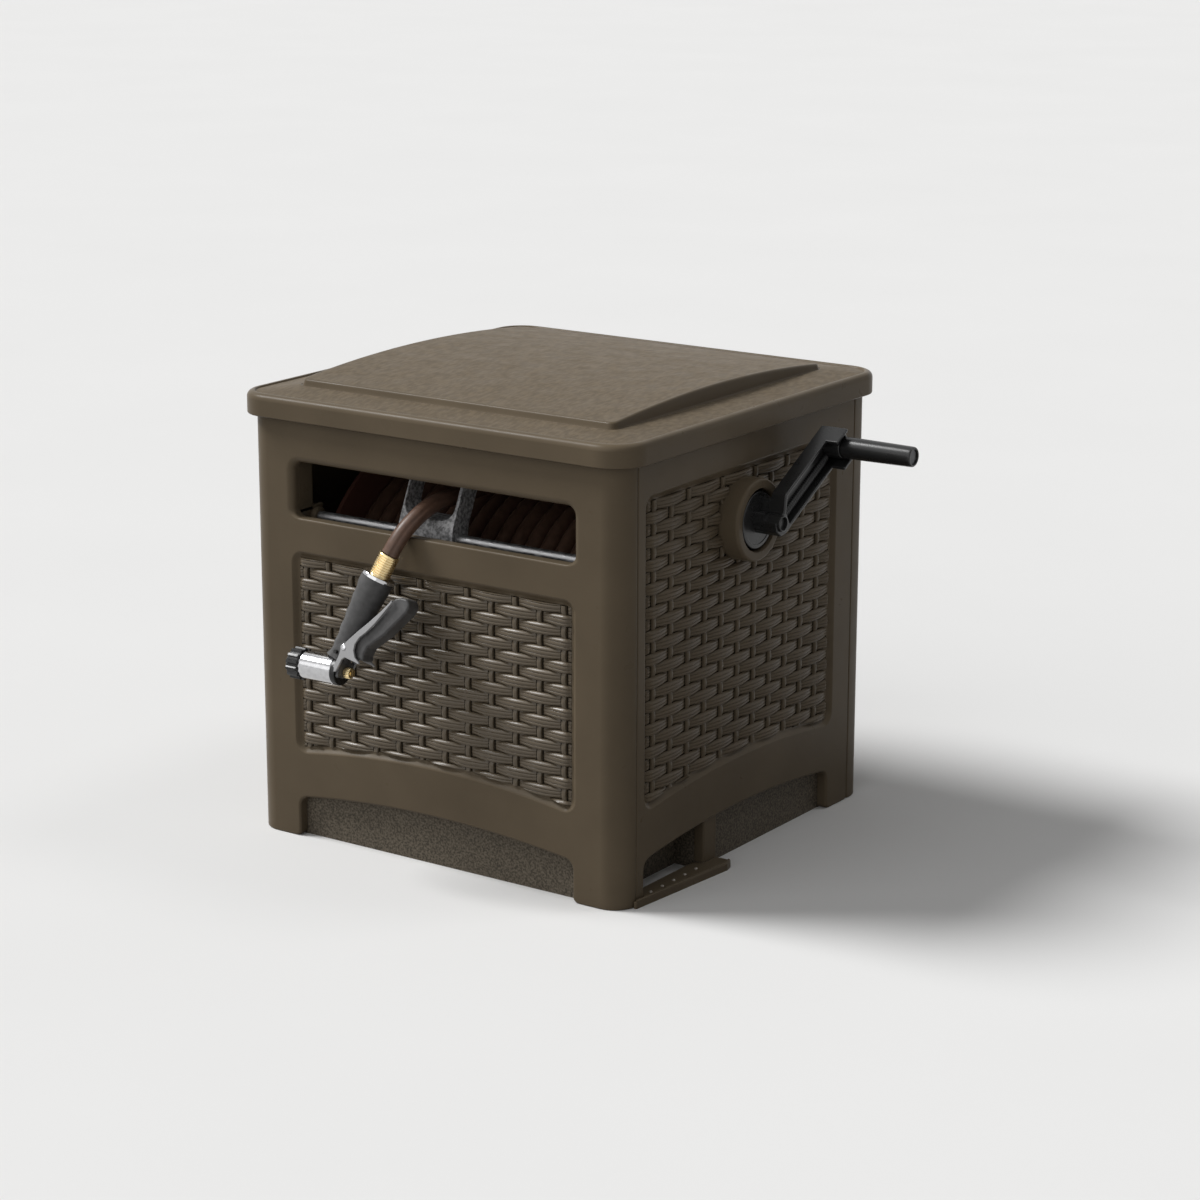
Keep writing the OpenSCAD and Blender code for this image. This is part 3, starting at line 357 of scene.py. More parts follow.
@dataclass(frozen=True)
class Mottled(Finish):
    """Grey plastic with dark and light flecks."""

    rough_dark: float = 0.6
    rough_pale: float = 0.38

    def draw(self, graph: Graph) -> None:
        """Fills the node tree.

        Args:
            graph: Tree to fill.
        """
        flecks = graph.noise(260.0, 6.0)
        tone = graph.mix(
            graph.span(flecks, 0.4, 0.62, 0.0, 1.0), shade(self.colour, 0.5), shade(self.colour, 1.5)
        )
        graph.join(tone, graph.surface.inputs["Base Color"])
        rough = graph.span(flecks, 0.3, 0.7, self.rough_dark, self.rough_pale)
        graph.join(rough, graph.surface.inputs["Roughness"])
        graph.bump(flecks, 0.4, 0.15)


PLASTIC: Colour = (0.122, 0.095, 0.063)
CASE = Moulded("case_plastic", "case_plastic", PLASTIC, roughness=0.32, specular=0.08)
WEAVE = Moulded(
    "woven_plastic", "case_plastic", shade(PLASTIC, 0.9), roughness=0.3, grain=1400.0, specular=0.3
)
# Copy of the woven plastic for the back and side walls: its weaker specular is painted shade, dimming their
# reflection of the pale background.
SHADED_SIDE_WEAVE = Moulded(
    "shaded_side_weave", "case_plastic", shade(PLASTIC, 0.95), roughness=0.34, grain=1400.0, specular=0.12
)
# SHADOW is a near-black copy of the case plastic: painted shade on the woven field's floor and in the
# deepest dives of the weave.
SHADOW = Moulded("weave_painted_shade", "case_plastic", shade(PLASTIC, 0.12), roughness=0.7, specular=0.05)
GRAINED = Moulded(
    "grained_plastic",
    "grained_plastic",
    shade(PLASTIC, 1.03),
    roughness=0.5,
    grain=230.0,
    depth=0.5,
    speckle=0.17,
    specular=0.1,
    stretch=(1.0, 0.4, 1.0),
)
KICK = Moulded(
    "kick_plastic",
    "grained_plastic",
    (0.118, 0.1, 0.076),
    roughness=0.5,
    grain=420.0,
    depth=0.35,
    speckle=0.45,
    specular=0.12,
)
# Pale copy of the case plastic for the foot plate's studs: a painted highlight on their small raised tops.
PALE_STUD_HIGHLIGHT = Moulded("stud_plastic", "stud_plastic", (0.33, 0.3, 0.26), roughness=0.36)
REEL = Moulded("reel_plastic", "reel_plastic", (0.2, 0.09, 0.065), specular=0.2)
BLACK = Moulded(
    "black_plastic", "black_plastic", (0.014, 0.014, 0.014), roughness=0.28, patch=0.2, specular=0.35
)
YOKE = Mottled("guide_plastic", "guide_plastic", (0.33, 0.33, 0.335))
STEEL = Metal("steel", "steel", (0.34, 0.34, 0.35), roughness=0.34)
ROD = Metal("rod_steel", "steel", (0.34, 0.34, 0.345), roughness=0.42)
DARK_STEEL = Metal("dark_steel", "steel", (0.09, 0.09, 0.095), roughness=0.4)
BRASS = Metal("brass", "brass", (0.76, 0.6, 0.33), roughness=0.26)
CHROME = Metal("chrome", "chrome", (0.58, 0.58, 0.59), roughness=0.1)
HOSE = Rubber("hose_rubber", "hose_rubber", (0.12, 0.068, 0.046), roughness=0.42)
SEAL = Rubber("seal_rubber", "seal_rubber", (0.01, 0.01, 0.01))
GRIP = Rubber("grip_rubber", "grip_rubber", (0.085, 0.084, 0.084), roughness=0.42, specular=0.25)
TRIGGER = Moulded("trigger_metal", "trigger_metal", (0.36, 0.36, 0.365), roughness=0.35)


# Flat outlines


def rounded_loop(corners: Sequence[Corner], steps: int = 6, span: float = 20.0) -> np.ndarray:
    """Draws a closed outline with rounded corners, anticlockwise.

    Args:
        corners: Place and rounding radius of each corner.
        steps: Parts of each rounding.
        span: Longest straight part.

    Returns:
        The outline's points, one row each.
    """
    places = np.array([c[:2] for c in corners], float)
    points: list[np.ndarray] = []
    for i, (_, _, radius) in enumerate(corners):
        here = places[i]
        if radius <= 0.0:
            points.append(here)
            continue
        back = places[i - 1] - here
        ahead = places[(i + 1) % len(corners)] - here
        back = back / np.linalg.norm(back)
        ahead = ahead / np.linalg.norm(ahead)
        half = math.acos(max(-1.0, min(1.0, float(back @ ahead)))) / 2
        middle = back + ahead
        centre = here + middle / np.linalg.norm(middle) * radius / math.sin(half)
        start = here + back * radius / math.tan(half) - centre
        end = here + ahead * radius / math.tan(half) - centre
        turn = math.atan2(start[0] * end[1] - start[1] * end[0], float(start @ end))
        for k in range(steps + 1):
            c, s = math.cos(turn * k / steps), math.sin(turn * k / steps)
            points.append(centre + np.array([c * start[0] - s * start[1], s * start[0] + c * start[1]]))
    dense: list[np.ndarray] = []
    for a, b in zip(points, points[1:] + points[:1]):
        parts = max(1, math.ceil(np.linalg.norm(b - a) / span))
        dense.extend(a + (b - a) * k / parts for k in range(parts))
    loop = np.array(dense)
    area = np.sum(loop[:, 0] * np.roll(loop[:, 1], -1) - np.roll(loop[:, 0], -1) * loop[:, 1])
    return loop if area > 0 else loop[::-1].copy()


def rectangle(
    u0: float, v0: float, u1: float, v1: float, radius: float, top_radius: Optional[float] = None
) -> list[Corner]:
    """Lists the corners of a rectangle.

    Args:
        u0: Left edge.
        v0: Lower edge.
        u1: Right edge.
        v1: Upper edge.
        radius: Rounding of the lower corners.
        top_radius: Rounding of the upper corners, if it differs.

    Returns:
        Place and rounding radius of each corner.
    """
    top = radius if top_radius is None else top_radius
    return [(u0, v0, radius), (u1, v0, radius), (u1, v1, top), (u0, v1, top)]


def smoothed(values: np.ndarray, times: int) -> np.ndarray:
    """Evens out a ring of values.

    Args:
        values: One value for each point of a ring.
        times: Number of passes.

    Returns:
        The smoothed values.
    """
    for _ in range(times):
        values = (np.roll(values, 1) + values + np.roll(values, -1)) / 3
    return values


def inset_loop(loop: np.ndarray, inset: Inset) -> np.ndarray:
    """Moves an outline inwards.

    Args:
        loop: Anticlockwise outline.
        inset: Distance, one for all or one for each point; negative is outwards.

    Returns:
        The moved outline.
    """
    ahead = np.roll(loop, -1, axis=0) - loop
    ahead /= np.linalg.norm(ahead, axis=1)[:, None]
    behind = np.roll(ahead, 1, axis=0)
    normal = np.stack([-(ahead + behind)[:, 1], (ahead + behind)[:, 0]], axis=1)
    normal /= np.linalg.norm(normal, axis=1)[:, None]
    facing = np.stack([-ahead[:, 1], ahead[:, 0]], axis=1)
    stretch = 1.0 / np.maximum(0.6, np.sum(normal * facing, axis=1))
    return loop + normal * (stretch * inset)[:, None]


def within(points: np.ndarray, loop: np.ndarray) -> np.ndarray:
    """Tells which points lie inside an outline.

    Args:
        points: Points to test.
        loop: Closed outline.

    Returns:
        True for each point inside.
    """
    found = np.zeros(len(points), bool)
    for a, b in zip(loop, np.roll(loop, -1, axis=0)):
        crosses = (a[1] > points[:, 1]) != (b[1] > points[:, 1])
        rise = b[1] - a[1] if b[1] != a[1] else 1e-12
        found ^= crosses & (points[:, 0] < a[0] + (points[:, 1] - a[1]) * (b[0] - a[0]) / rise)
    return found


def fill_flat(
    outer: np.ndarray, holes: Sequence[np.ndarray], lines: Sequence[np.ndarray] = ()
) -> tuple[np.ndarray, np.ndarray]:
    """Fills an outline with triangles around its holes.

    Args:
        outer: Outer outline.
        holes: Outlines left open.
        lines: Rows of points that edges keep to.

    Returns:
        The points and the triangles.
    """
    points: list[Vector] = []
    edges: list[tuple[int, int]] = []
    for loop in [outer, *holes]:
        first = len(points)
        points.extend(Vector((float(u), float(v))) for u, v in loop)
        edges.extend((first + i, first + (i + 1) % len(loop)) for i in range(len(loop)))
    for line in lines:
        first = len(points)
        points.extend(Vector((float(u), float(v))) for u, v in line)
        edges.extend((first + i, first + i + 1) for i in range(len(line) - 1))
    result = delaunay_2d_cdt(points, edges, [], 0, 1e-5)
    places = np.array([(p.x, p.y) for p in result[0]])
    triangles = np.array([f for f in result[2] if len(f) == 3])
    middles = places[triangles].mean(axis=1)
    keep = within(middles, outer)
    for hole in holes:
        keep &= ~within(middles, hole)
    return places, triangles[keep]


def fillet(radius: Inset, steps: int = 4) -> list[tuple[Inset, Inset]]:
    """Section of a rounded edge, from the face to the wall.

    Args:
        radius: Rounding radius, one for all or one for each point.
        steps: Parts of the rounding.

    Returns:
        Inset and depth of each ring.
    """
    turns = [math.pi / 2 * k / steps for k in range(steps + 1)]
    return [(radius * (1 - math.sin(a)), radius * (1 - math.cos(a))) for a in turns]


@dataclass
class Cut:
    """A hole or a pocket in a slab: an outline and the section of its edge."""

    loop: np.ndarray
    section: Section
    floor: Optional[int] = None


# Meshes


@dataclass(frozen=True)
class Axes:
    """A place with three directions, to draw in."""

    origin: Point
    along: Point
    side: Point
    up: Point

    @staticmethod
    def of(origin: Sequence[float], along: Sequence[float], side: Sequence[float]) -> "Axes":
        """Makes square axes from a direction and a rough side.

        Args:
            origin: Start.
            along: First direction.
            side: Rough second direction.

        Returns:
            The axes.
        """
        a = Vector(along).normalized()
        s = Vector(side)
        s = (s - a * s.dot(a)).normalized()
        return Axes(tuple(origin), tuple(a), tuple(s), tuple(a.cross(s)))

    def at(self, a: float, s: float = 0.0, u: float = 0.0) -> np.ndarray:
        """Gives a point.

        Args:
            a: Distance along.
            s: Distance to the side.
            u: Distance up.

        Returns:
            The point in the shared frame.
        """
        point = np.array(self.origin) + a * np.array(self.along)
        return point + s * np.array(self.side) + u * np.array(self.up)


class Draft:
    """Collects the points and faces of one piece."""

    def __init__(self) -> None:
        """Starts empty."""
        self.points: list[Point] = []
        self.faces: list[tuple[int, ...]] = []
        self.marks: list[int] = []
        self.mark = 0

    def add(self, points: Sequence[Sequence[float]]) -> list[int]:
        """Adds points.

        Args:
            points: Places.

        Returns:
            Their numbers.
        """
        first = len(self.points)
        self.points.extend((float(p[0]), float(p[1]), float(p[2])) for p in points)
        return list(range(first, len(self.points)))

    def face(self, ids: Sequence[int]) -> None:
        """Adds a face with the mark in use.

        Args:
            ids: Numbers of its points.
        """
        self.faces.append(tuple(ids))
        self.marks.append(self.mark)

    def strip(self, a: Sequence[int], b: Sequence[int], closed: bool = True) -> None:
        """Joins two rows of points with faces.

        Args:
            a: First row.
            b: Second row, as long.
            closed: Whether the rows are rings.
        """
        count = len(a)
        for i in range(count if closed else count - 1):
            j = (i + 1) % count
            self.face((a[i], a[j], b[j], b[i]))

    def loft(
        self,
        rings: Sequence[Sequence[Sequence[float]]],
        closed: bool = True,
        caps: tuple[bool, bool] = (False, False),
    ) -> None:
        """Skins a row of rings.

        Args:
            rings: Rings of points, all as long.
            closed: Whether each ring closes on itself.
            caps: Whether the first and the last ring are filled.
        """
        rows = [self.add(r) for r in rings]
        for a, b in zip(rows, rows[1:]):
            self.strip(a, b, closed)
        if caps[0]:
            self.face(rows[0])
        if caps[1]:
            self.face(rows[-1])

    def flat(
        self,
        outer: np.ndarray,
        holes: Sequence[np.ndarray],
        place: Place,
        depth: Inset,
        lines: Sequence[np.ndarray] = (),
    ) -> None:
        """Fills an outline on a slab's face.

        Args:
            outer: Outer outline.
            holes: Outlines left open.
            place: Gives the point of a flat place and a depth.
            depth: Depth of the face.
            lines: Rows of points that edges keep to.
        """
        places, triangles = fill_flat(outer, holes, lines)
        ids = self.add([place(u, v, float(np.max(depth))) for u, v in places])
        for t in triangles:
            self.face([ids[int(k)] for k in t])

    def rings(self, loop: np.ndarray, section: Section, place: Place, outwards: bool) -> None:
        """Skins an edge's section along an outline.

        Args:
            loop: Outline.
            section: Inset and depth of each ring.
            place: Gives the point of a flat place and a depth.
            outwards: Whether insets lead out of the outline, as round a hole.
        """
        rows = []
        for inset, depth in section:
            moved = inset_loop(loop, -inset if outwards else inset)
            depths = np.broadcast_to(np.asarray(depth, float), (len(loop),))
            rows.append([place(u, v, d) for (u, v), d in zip(moved, depths)])
        self.loft(rows)

    def slab(
        self,
        outline: np.ndarray,
        section: Section,
        place: Place,
        depth: float,
        cuts: Sequence[Cut] = (),
        lines: Sequence[np.ndarray] = (),
    ) -> None:
        """Draws a plate with a rounded outer edge, holes and pockets.

        Args:
            outline: Outer outline.
            section: Section of the outer edge, from the face.
            place: Gives the point of a flat place and a depth.
            depth: Thickness.
            cuts: Holes and pockets.
            lines: Rows of points that the faces' edges keep to.
        """
        through = [c for c in cuts if c.floor is None]
        self.rings(outline, [*section, (0.0, depth)], place, False)
        mouths = [inset_loop(c.loop, -c.section[0][0]) for c in cuts]
        self.flat(inset_loop(outline, section[0][0]), mouths, place, 0.0, lines)
        self.flat(outline, [c.loop for c in through], place, depth, lines)
        for cut in cuts:
            if cut.floor is None:
                self.rings(cut.loop, [*cut.section, (0.0, depth)], place, True)
                continue
            self.rings(cut.loop, cut.section, place, True)
            mark, self.mark = self.mark, cut.floor
            self.flat(cut.loop, [], place, cut.section[-1][1])
            self.mark = mark

    def turn(
        self, profile: Profile, axes: Axes, sides: int = 48, ribs: int = 0, rib: float = 0.0
    ) -> None:
        """Revolves a profile about an axis; one that ends where it starts makes a hoop.

        Args:
            profile: Distance along the axis and radius of each ring.
            axes: Axis and its sides.
            sides: Points round a ring.
            ribs: Number of lengthwise ribs.
            rib: Height of the ribs.
        """
        rings = []
        for a, r in profile:
            ring = []
            for k in range(sides):
                turn = 2 * math.pi * k / sides
                reach = r + rib * max(0.0, math.cos(turn * ribs)) if ribs else r
                ring.append(axes.at(a, reach * math.cos(turn), reach * math.sin(turn)))
            rings.append(ring)
        ends = profile[0] != profile[-1]
        self.loft(rings, True, (ends and profile[0][1] > 0.01, ends and profile[-1][1] > 0.01))

    def tube(
        self,
        path: np.ndarray,
        radius: float,
        sides: int,
        hint: Sequence[float],
        shape: Optional[Sequence[float]] = None,
    ) -> None:
        """Draws a tube along a path, with flat ends.

        Args:
            path: Points of the middle line.
            radius: Radius.
            sides: Points round a ring.
            hint: Direction that the first ring's side starts from.
            shape: Radius factor at each point round a ring.
        """
        heading = np.gradient(path, axis=0)
        heading /= np.linalg.norm(heading, axis=1)[:, None]
        side = np.array(hint, float)
        factors = np.ones(sides) if shape is None else np.array(shape)
        turns = 2 * math.pi * np.arange(sides) / sides
        rings = []
        for at, ahead in zip(path, heading):
            side = side - ahead * (side @ ahead)
            side /= np.linalg.norm(side)
            up = np.cross(ahead, side)
            reach = (radius * factors)[:, None]
            rings.append(at + reach * (np.cos(turns)[:, None] * side + np.sin(turns)[:, None] * up))
        self.loft(rings, True, (True, True))

    def block(
        self, low: Sequence[float], high: Sequence[float], edge: float, axes: Optional[Axes] = None
    ) -> None:
        """Draws a box with rounded upright edges and rounded ends.

        Args:
            low: Lowest corner.
            high: Highest corner.
            edge: Rounding radius.
            axes: Axes to draw in, the third one upright.
        """
        outline = rounded_loop(rectangle(low[0], low[1], high[0], high[1], edge), 4, 999.0)
        soft = fillet(edge, 4)
        section = [(inset, high[2] - depth) for inset, depth in soft]
        section += [(inset, low[2] + depth) for inset, depth in reversed(soft)]
        rings = []
        for inset, z in section:
            moved = inset_loop(outline, min(inset, edge * 0.98))
            rings.append([axes.at(u, v, z) if axes else (u, v, z) for u, v in moved])
        self.loft(rings, True, (True, True))

    def piece(
        self,
        name: str,
        body: Body,
        finishes: Sequence[Finish],
        replaces: Sequence[str] = (),
        sharp: float = 32.0,
        thickness: float = 0.0,
    ) -> bpy.types.Object:
        """Makes the piece and puts it on its body.

        Args:
            name: Name of the piece.
            body: Body that it rides on.
            finishes: Finishes, by mark.
            replaces: Nodes that it stands for.
            sharp: Angle over which an edge stays sharp.
            thickness: Thickness given to a skin, inwards.

        Returns:
            The piece.
        """
        mesh = bpy.data.meshes.new(name)
        mesh.from_pydata([(x * MM, y * MM, z * MM) for x, y, z in self.points], [], self.faces)
        for finish in finishes:
            mesh.materials.append(finish.material())
        mesh.polygons.foreach_set("material_index", self.marks)
        bm = bmesh.new()
        bm.from_mesh(mesh)
        bmesh.ops.remove_doubles(bm, verts=bm.verts, dist=0.002 * MM)
        bmesh.ops.dissolve_degenerate(bm, edges=bm.edges, dist=0.001 * MM)
        bmesh.ops.recalc_face_normals(bm, faces=bm.faces)
        bm.to_mesh(mesh)
        bm.free()
        mesh.shade_smooth()
        mesh.set_sharp_from_angle(angle=math.radians(sharp))
        obj = bpy.data.objects.new(name, mesh)
        bpy.context.scene.collection.objects.link(obj)
        if thickness:
            skin = obj.modifiers.new("thickness", "SOLIDIFY")
            skin.thickness = thickness * MM
            skin.offset = -1.0
            skin.use_even_offset = True
        weight = obj.modifiers.new("normals", "WEIGHTED_NORMAL")
        weight.keep_sharp = True
        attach(obj, body.value)
        if replaces:
            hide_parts(*replaces)
        LOG.info("%s: %d faces", name, len(mesh.polygons))
        return obj


# Stage


@dataclass
class Stage:
    """Camera, light, floor and background."""

    at: Point = (2.0138, -2.8405, 1.1835)
    right: Point = (0.8223, 0.5690, 0.0)
    up: Point = (-0.1475, 0.2132, 0.9658)
    back: Point = (0.5495, -0.7942, 0.2593)
    roll: float = 0.09
    lens: float = 95.15
    sensor: float = 36.0
    floor_reach: float = 60.0
    key_from: Point = (-0.62, -0.22, 0.75)
    key_strength: float = 3.0
    key_width: float = 22.0
    fill_from: Point = (-0.1, -0.9, 0.42)
    fill_strength: float = 0.85
    fill_width: float = 70.0
    edge_from: Point = (0.42, 0.35, 0.84)
    edge_strength: float = 0.22
    edge_width: float = 16.0
    soft_light: float = 0.15
    background: float = 0.82
    floor_lit: Colour = (0.3, 0.29, 0.28)
    floor_low: Colour = (0.78, 0.778, 0.772)
    floor_high: Colour = (0.81, 0.808, 0.802)

    def camera(self) -> None:
        """Places the camera."""
        data = bpy.data.cameras.new("camera")
        data.lens = self.lens
        data.sensor_width = self.sensor
        camera = bpy.data.objects.new("camera", data)
        turn = Matrix((self.right, self.up, self.back)).transposed().to_4x4()
        roll = Matrix.Rotation(math.radians(self.roll), 4, "Z")
        camera.matrix_world = Matrix.Translation(self.at) @ turn @ roll
        bpy.context.scene.collection.objects.link(camera)
        bpy.context.scene.camera = camera

    def lamp(self, name: str, source: Sequence[float], strength: float, width: float) -> None:
        """Adds a wide, soft lamp.

        Args:
            name: Name of the lamp.
            source: Direction that the light comes from.
            strength: Light on a surface that faces it.
            width: Angle that the lamp fills, in degrees.
        """
        data = bpy.data.lights.new(name, "SUN")
        data.energy = strength
        data.angle = math.radians(width)
        lamp = bpy.data.objects.new(name, data)
        lamp.rotation_euler = (-Vector(source)).to_track_quat("-Z", "Y").to_euler()
        bpy.context.scene.collection.objects.link(lamp)

    def seen(self, tree: bpy.types.NodeTree) -> bpy.types.NodeSocket:
        """Tells what the camera sees straight on, in a reflection or through glass from what only lights.

        Args:
            tree: Node tree to add to.

        Returns:
            1 for a ray that shows the background, otherwise 0.
        """
        rays = tree.nodes.new("ShaderNodeLightPath")
        total = rays.outputs["Is Camera Ray"]
        for name in ("Is Glossy Ray", "Is Transmission Ray"):
            node = tree.nodes.new("ShaderNodeMath")
            node.operation = "MAXIMUM"
            tree.links.new(total, node.inputs[0])
            tree.links.new(rays.outputs[name], node.inputs[1])
            total = node.outputs[0]
        return total

    def floor(self) -> None:
        """Lays a pale floor that throws little light back."""
        r = self.floor_reach
        mesh = bpy.data.meshes.new("floor")
        mesh.from_pydata([(-r, -r, 0), (r, -r, 0), (r, r, 0), (-r, r, 0)], [], [(0, 1, 2, 3)])
        graph = Graph("floor_pale")
        pale = graph.mix(graph.noise(2.0, 4.0), self.floor_low, self.floor_high)
        tone = graph.mix(self.seen(graph.tree), self.floor_lit, pale)
        graph.join(tone, graph.surface.inputs["Base Color"])
        graph.set(Roughness=0.9, Specular_IOR_Level=0.1)
        mesh.materials.append(graph.material)
        floor = bpy.data.objects.new("floor", mesh)
        bpy.context.scene.collection.objects.link(floor)
        floor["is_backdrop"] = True

    def world(self) -> None:
        """Lights the scene evenly and shows a pale background."""
        world = bpy.data.worlds.new("studio")
        bpy.context.scene.world = world
        world.use_nodes = True
        tree = world.node_tree
        tree.nodes.clear()
        output = tree.nodes.new("ShaderNodeOutputWorld")
        mix = tree.nodes.new("ShaderNodeMixShader")
        tree.links.new(self.seen(tree), mix.inputs[0])
        for slot, strength in ((1, self.soft_light), (2, self.background)):
            sky = tree.nodes.new("ShaderNodeBackground")
            sky.inputs["Color"].default_value = (1.0, 1.0, 1.0, 1.0)
            sky.inputs["Strength"].default_value = strength
            tree.links.new(sky.outputs[0], mix.inputs[slot])
        tree.links.new(mix.outputs[0], output.inputs[0])

    def build(self) -> None:
        """Builds the light, the floor and the background."""
        self.lamp("key", self.key_from, self.key_strength, self.key_width)
        self.lamp("fill", self.fill_from, self.fill_strength, self.fill_width)
        self.lamp("edge", self.edge_from, self.edge_strength, self.edge_width)
        self.floor()
        self.world()
        bpy.context.scene.view_settings.view_transform = "Standard"


# Hose


@dataclass
class Hose:
    """The hose: its free end, the outer layer on the reel and the layers under it."""

    diameter: float = 19.0
    reel_y: float = -18.0
    reel_z: float = 233.0
    outer_r: float = 149.084
    pitch: float = 20.278
    first_x: float = -182.5
    loops: int = 18
    inner_r: tuple[float, float] = (109.6, 128.8)
    sides: int = 40

    route: tuple[Point, ...] = (
        (-18, -18, 402.084),
        (-18, -59.86, 402.065),
        (-18, -99.9, 402.046),
        (-18, -139.94, 402.028),
        (-18, -174.52, 402.012),
        (-18, -200, 402),
        (-19, -216, 400),
        (-20, -231, 396),
        (-23, -245, 388),
        (-27, -257, 378),
        (-31, -266, 366),
        (-36, -272, 353),
    )

    def section(self) -> list[float]:
        """Gives the hose's round section with its two drawn seams.

        Returns:
            Radius factor at each point round a ring.
        """
        factors = [1.0] * self.sides
        for k in (4, self.sides // 2 + 4):
            factors[k - 1 : k + 2] = [0.965, 0.89, 0.965]
        return factors

    def lead_path(self) -> np.ndarray:
        """Rounds the free end's route.

        Returns:
            Points of its middle line.
        """
        knots = np.array(self.route, float)
        ends = np.vstack([2 * knots[0] - knots[1], knots, 2 * knots[-1] - knots[-2]])
        points = []
        for i in range(len(knots) - 1):
            p0, p1, p2, p3 = ends[i : i + 4]
            for t in np.linspace(0, 1, 6, endpoint=False):
                points.append(
                    0.5 * (2 * p1 + (p2 - p0) * t + (2 * p0 - 5 * p1 + 4 * p2 - p3) * t**2)
                    + 0.5 * (3 * p1 - p0 - 3 * p2 + p3) * t**3
                )
        points.append(knots[-1])
        return np.array(points)

    def lead(self, with_pieces: Sequence[bpy.types.Object]) -> None:
        """Builds the free end as a hanging hose.

        Args:
            with_pieces: Pieces meant to hang on it; not used.
        """
        path = self.lead_path()
        draft = Draft()
        draft.tube(path, self.diameter / 2, self.sides, (1, 0, 0), self.section())
        piece = draft.piece("hose_end", Body.GUIDE, [HOSE], ["hose_lead"], 50.0)

    def helix(self, radius: float, first_x: float, pitch: float, loops: int, steps: int) -> np.ndarray:
        """Winds a layer.

        Args:
            radius: Radius at the hose's middle.
            first_x: Start along the axis.
            pitch: Advance of each loop.
            loops: Number of loops.
            steps: Points in each loop.

        Returns:
            Points of the middle line.
        """
        turns = np.linspace(0, loops, loops * steps + 1)
        angle = 2 * math.pi * turns
        y = self.reel_y - radius * np.sin(angle)
        z = self.reel_z + radius * np.cos(angle)
        return np.stack([first_x + pitch * turns, y, z], axis=1)

    def layers(self) -> None:
        """Builds the outer layer and the layers under it."""
        path = self.helix(self.outer_r, self.first_x, self.pitch, self.loops, 48)
        heading = path[1] - path[0]
        tail = path[-1] - path[-2]
        path = np.vstack(
            [
                path[0] - self.diameter * heading / np.linalg.norm(heading),
                path,
                path[-1] + self.diameter * tail / np.linalg.norm(tail),
            ]
        )
        outer = Draft()
        outer.tube(path, self.diameter / 2, 14, (1, 0, 0))
        outer.piece("hose_outer_layer", Body.REEL, [HOSE], ["hose_winding"], 50.0)
        inner = Draft()
        for i, radius in enumerate(self.inner_r):
            path = self.helix(radius, self.first_x - 3 + 2 * i, self.pitch, self.loops, 40)
            inner.tube(path, self.diameter / 2 * 1.02, 12, (1, 0, 0))
        inner.piece("hose_inner_layers", Body.REEL, [HOSE], ["hose_core"], 50.0)


# Case


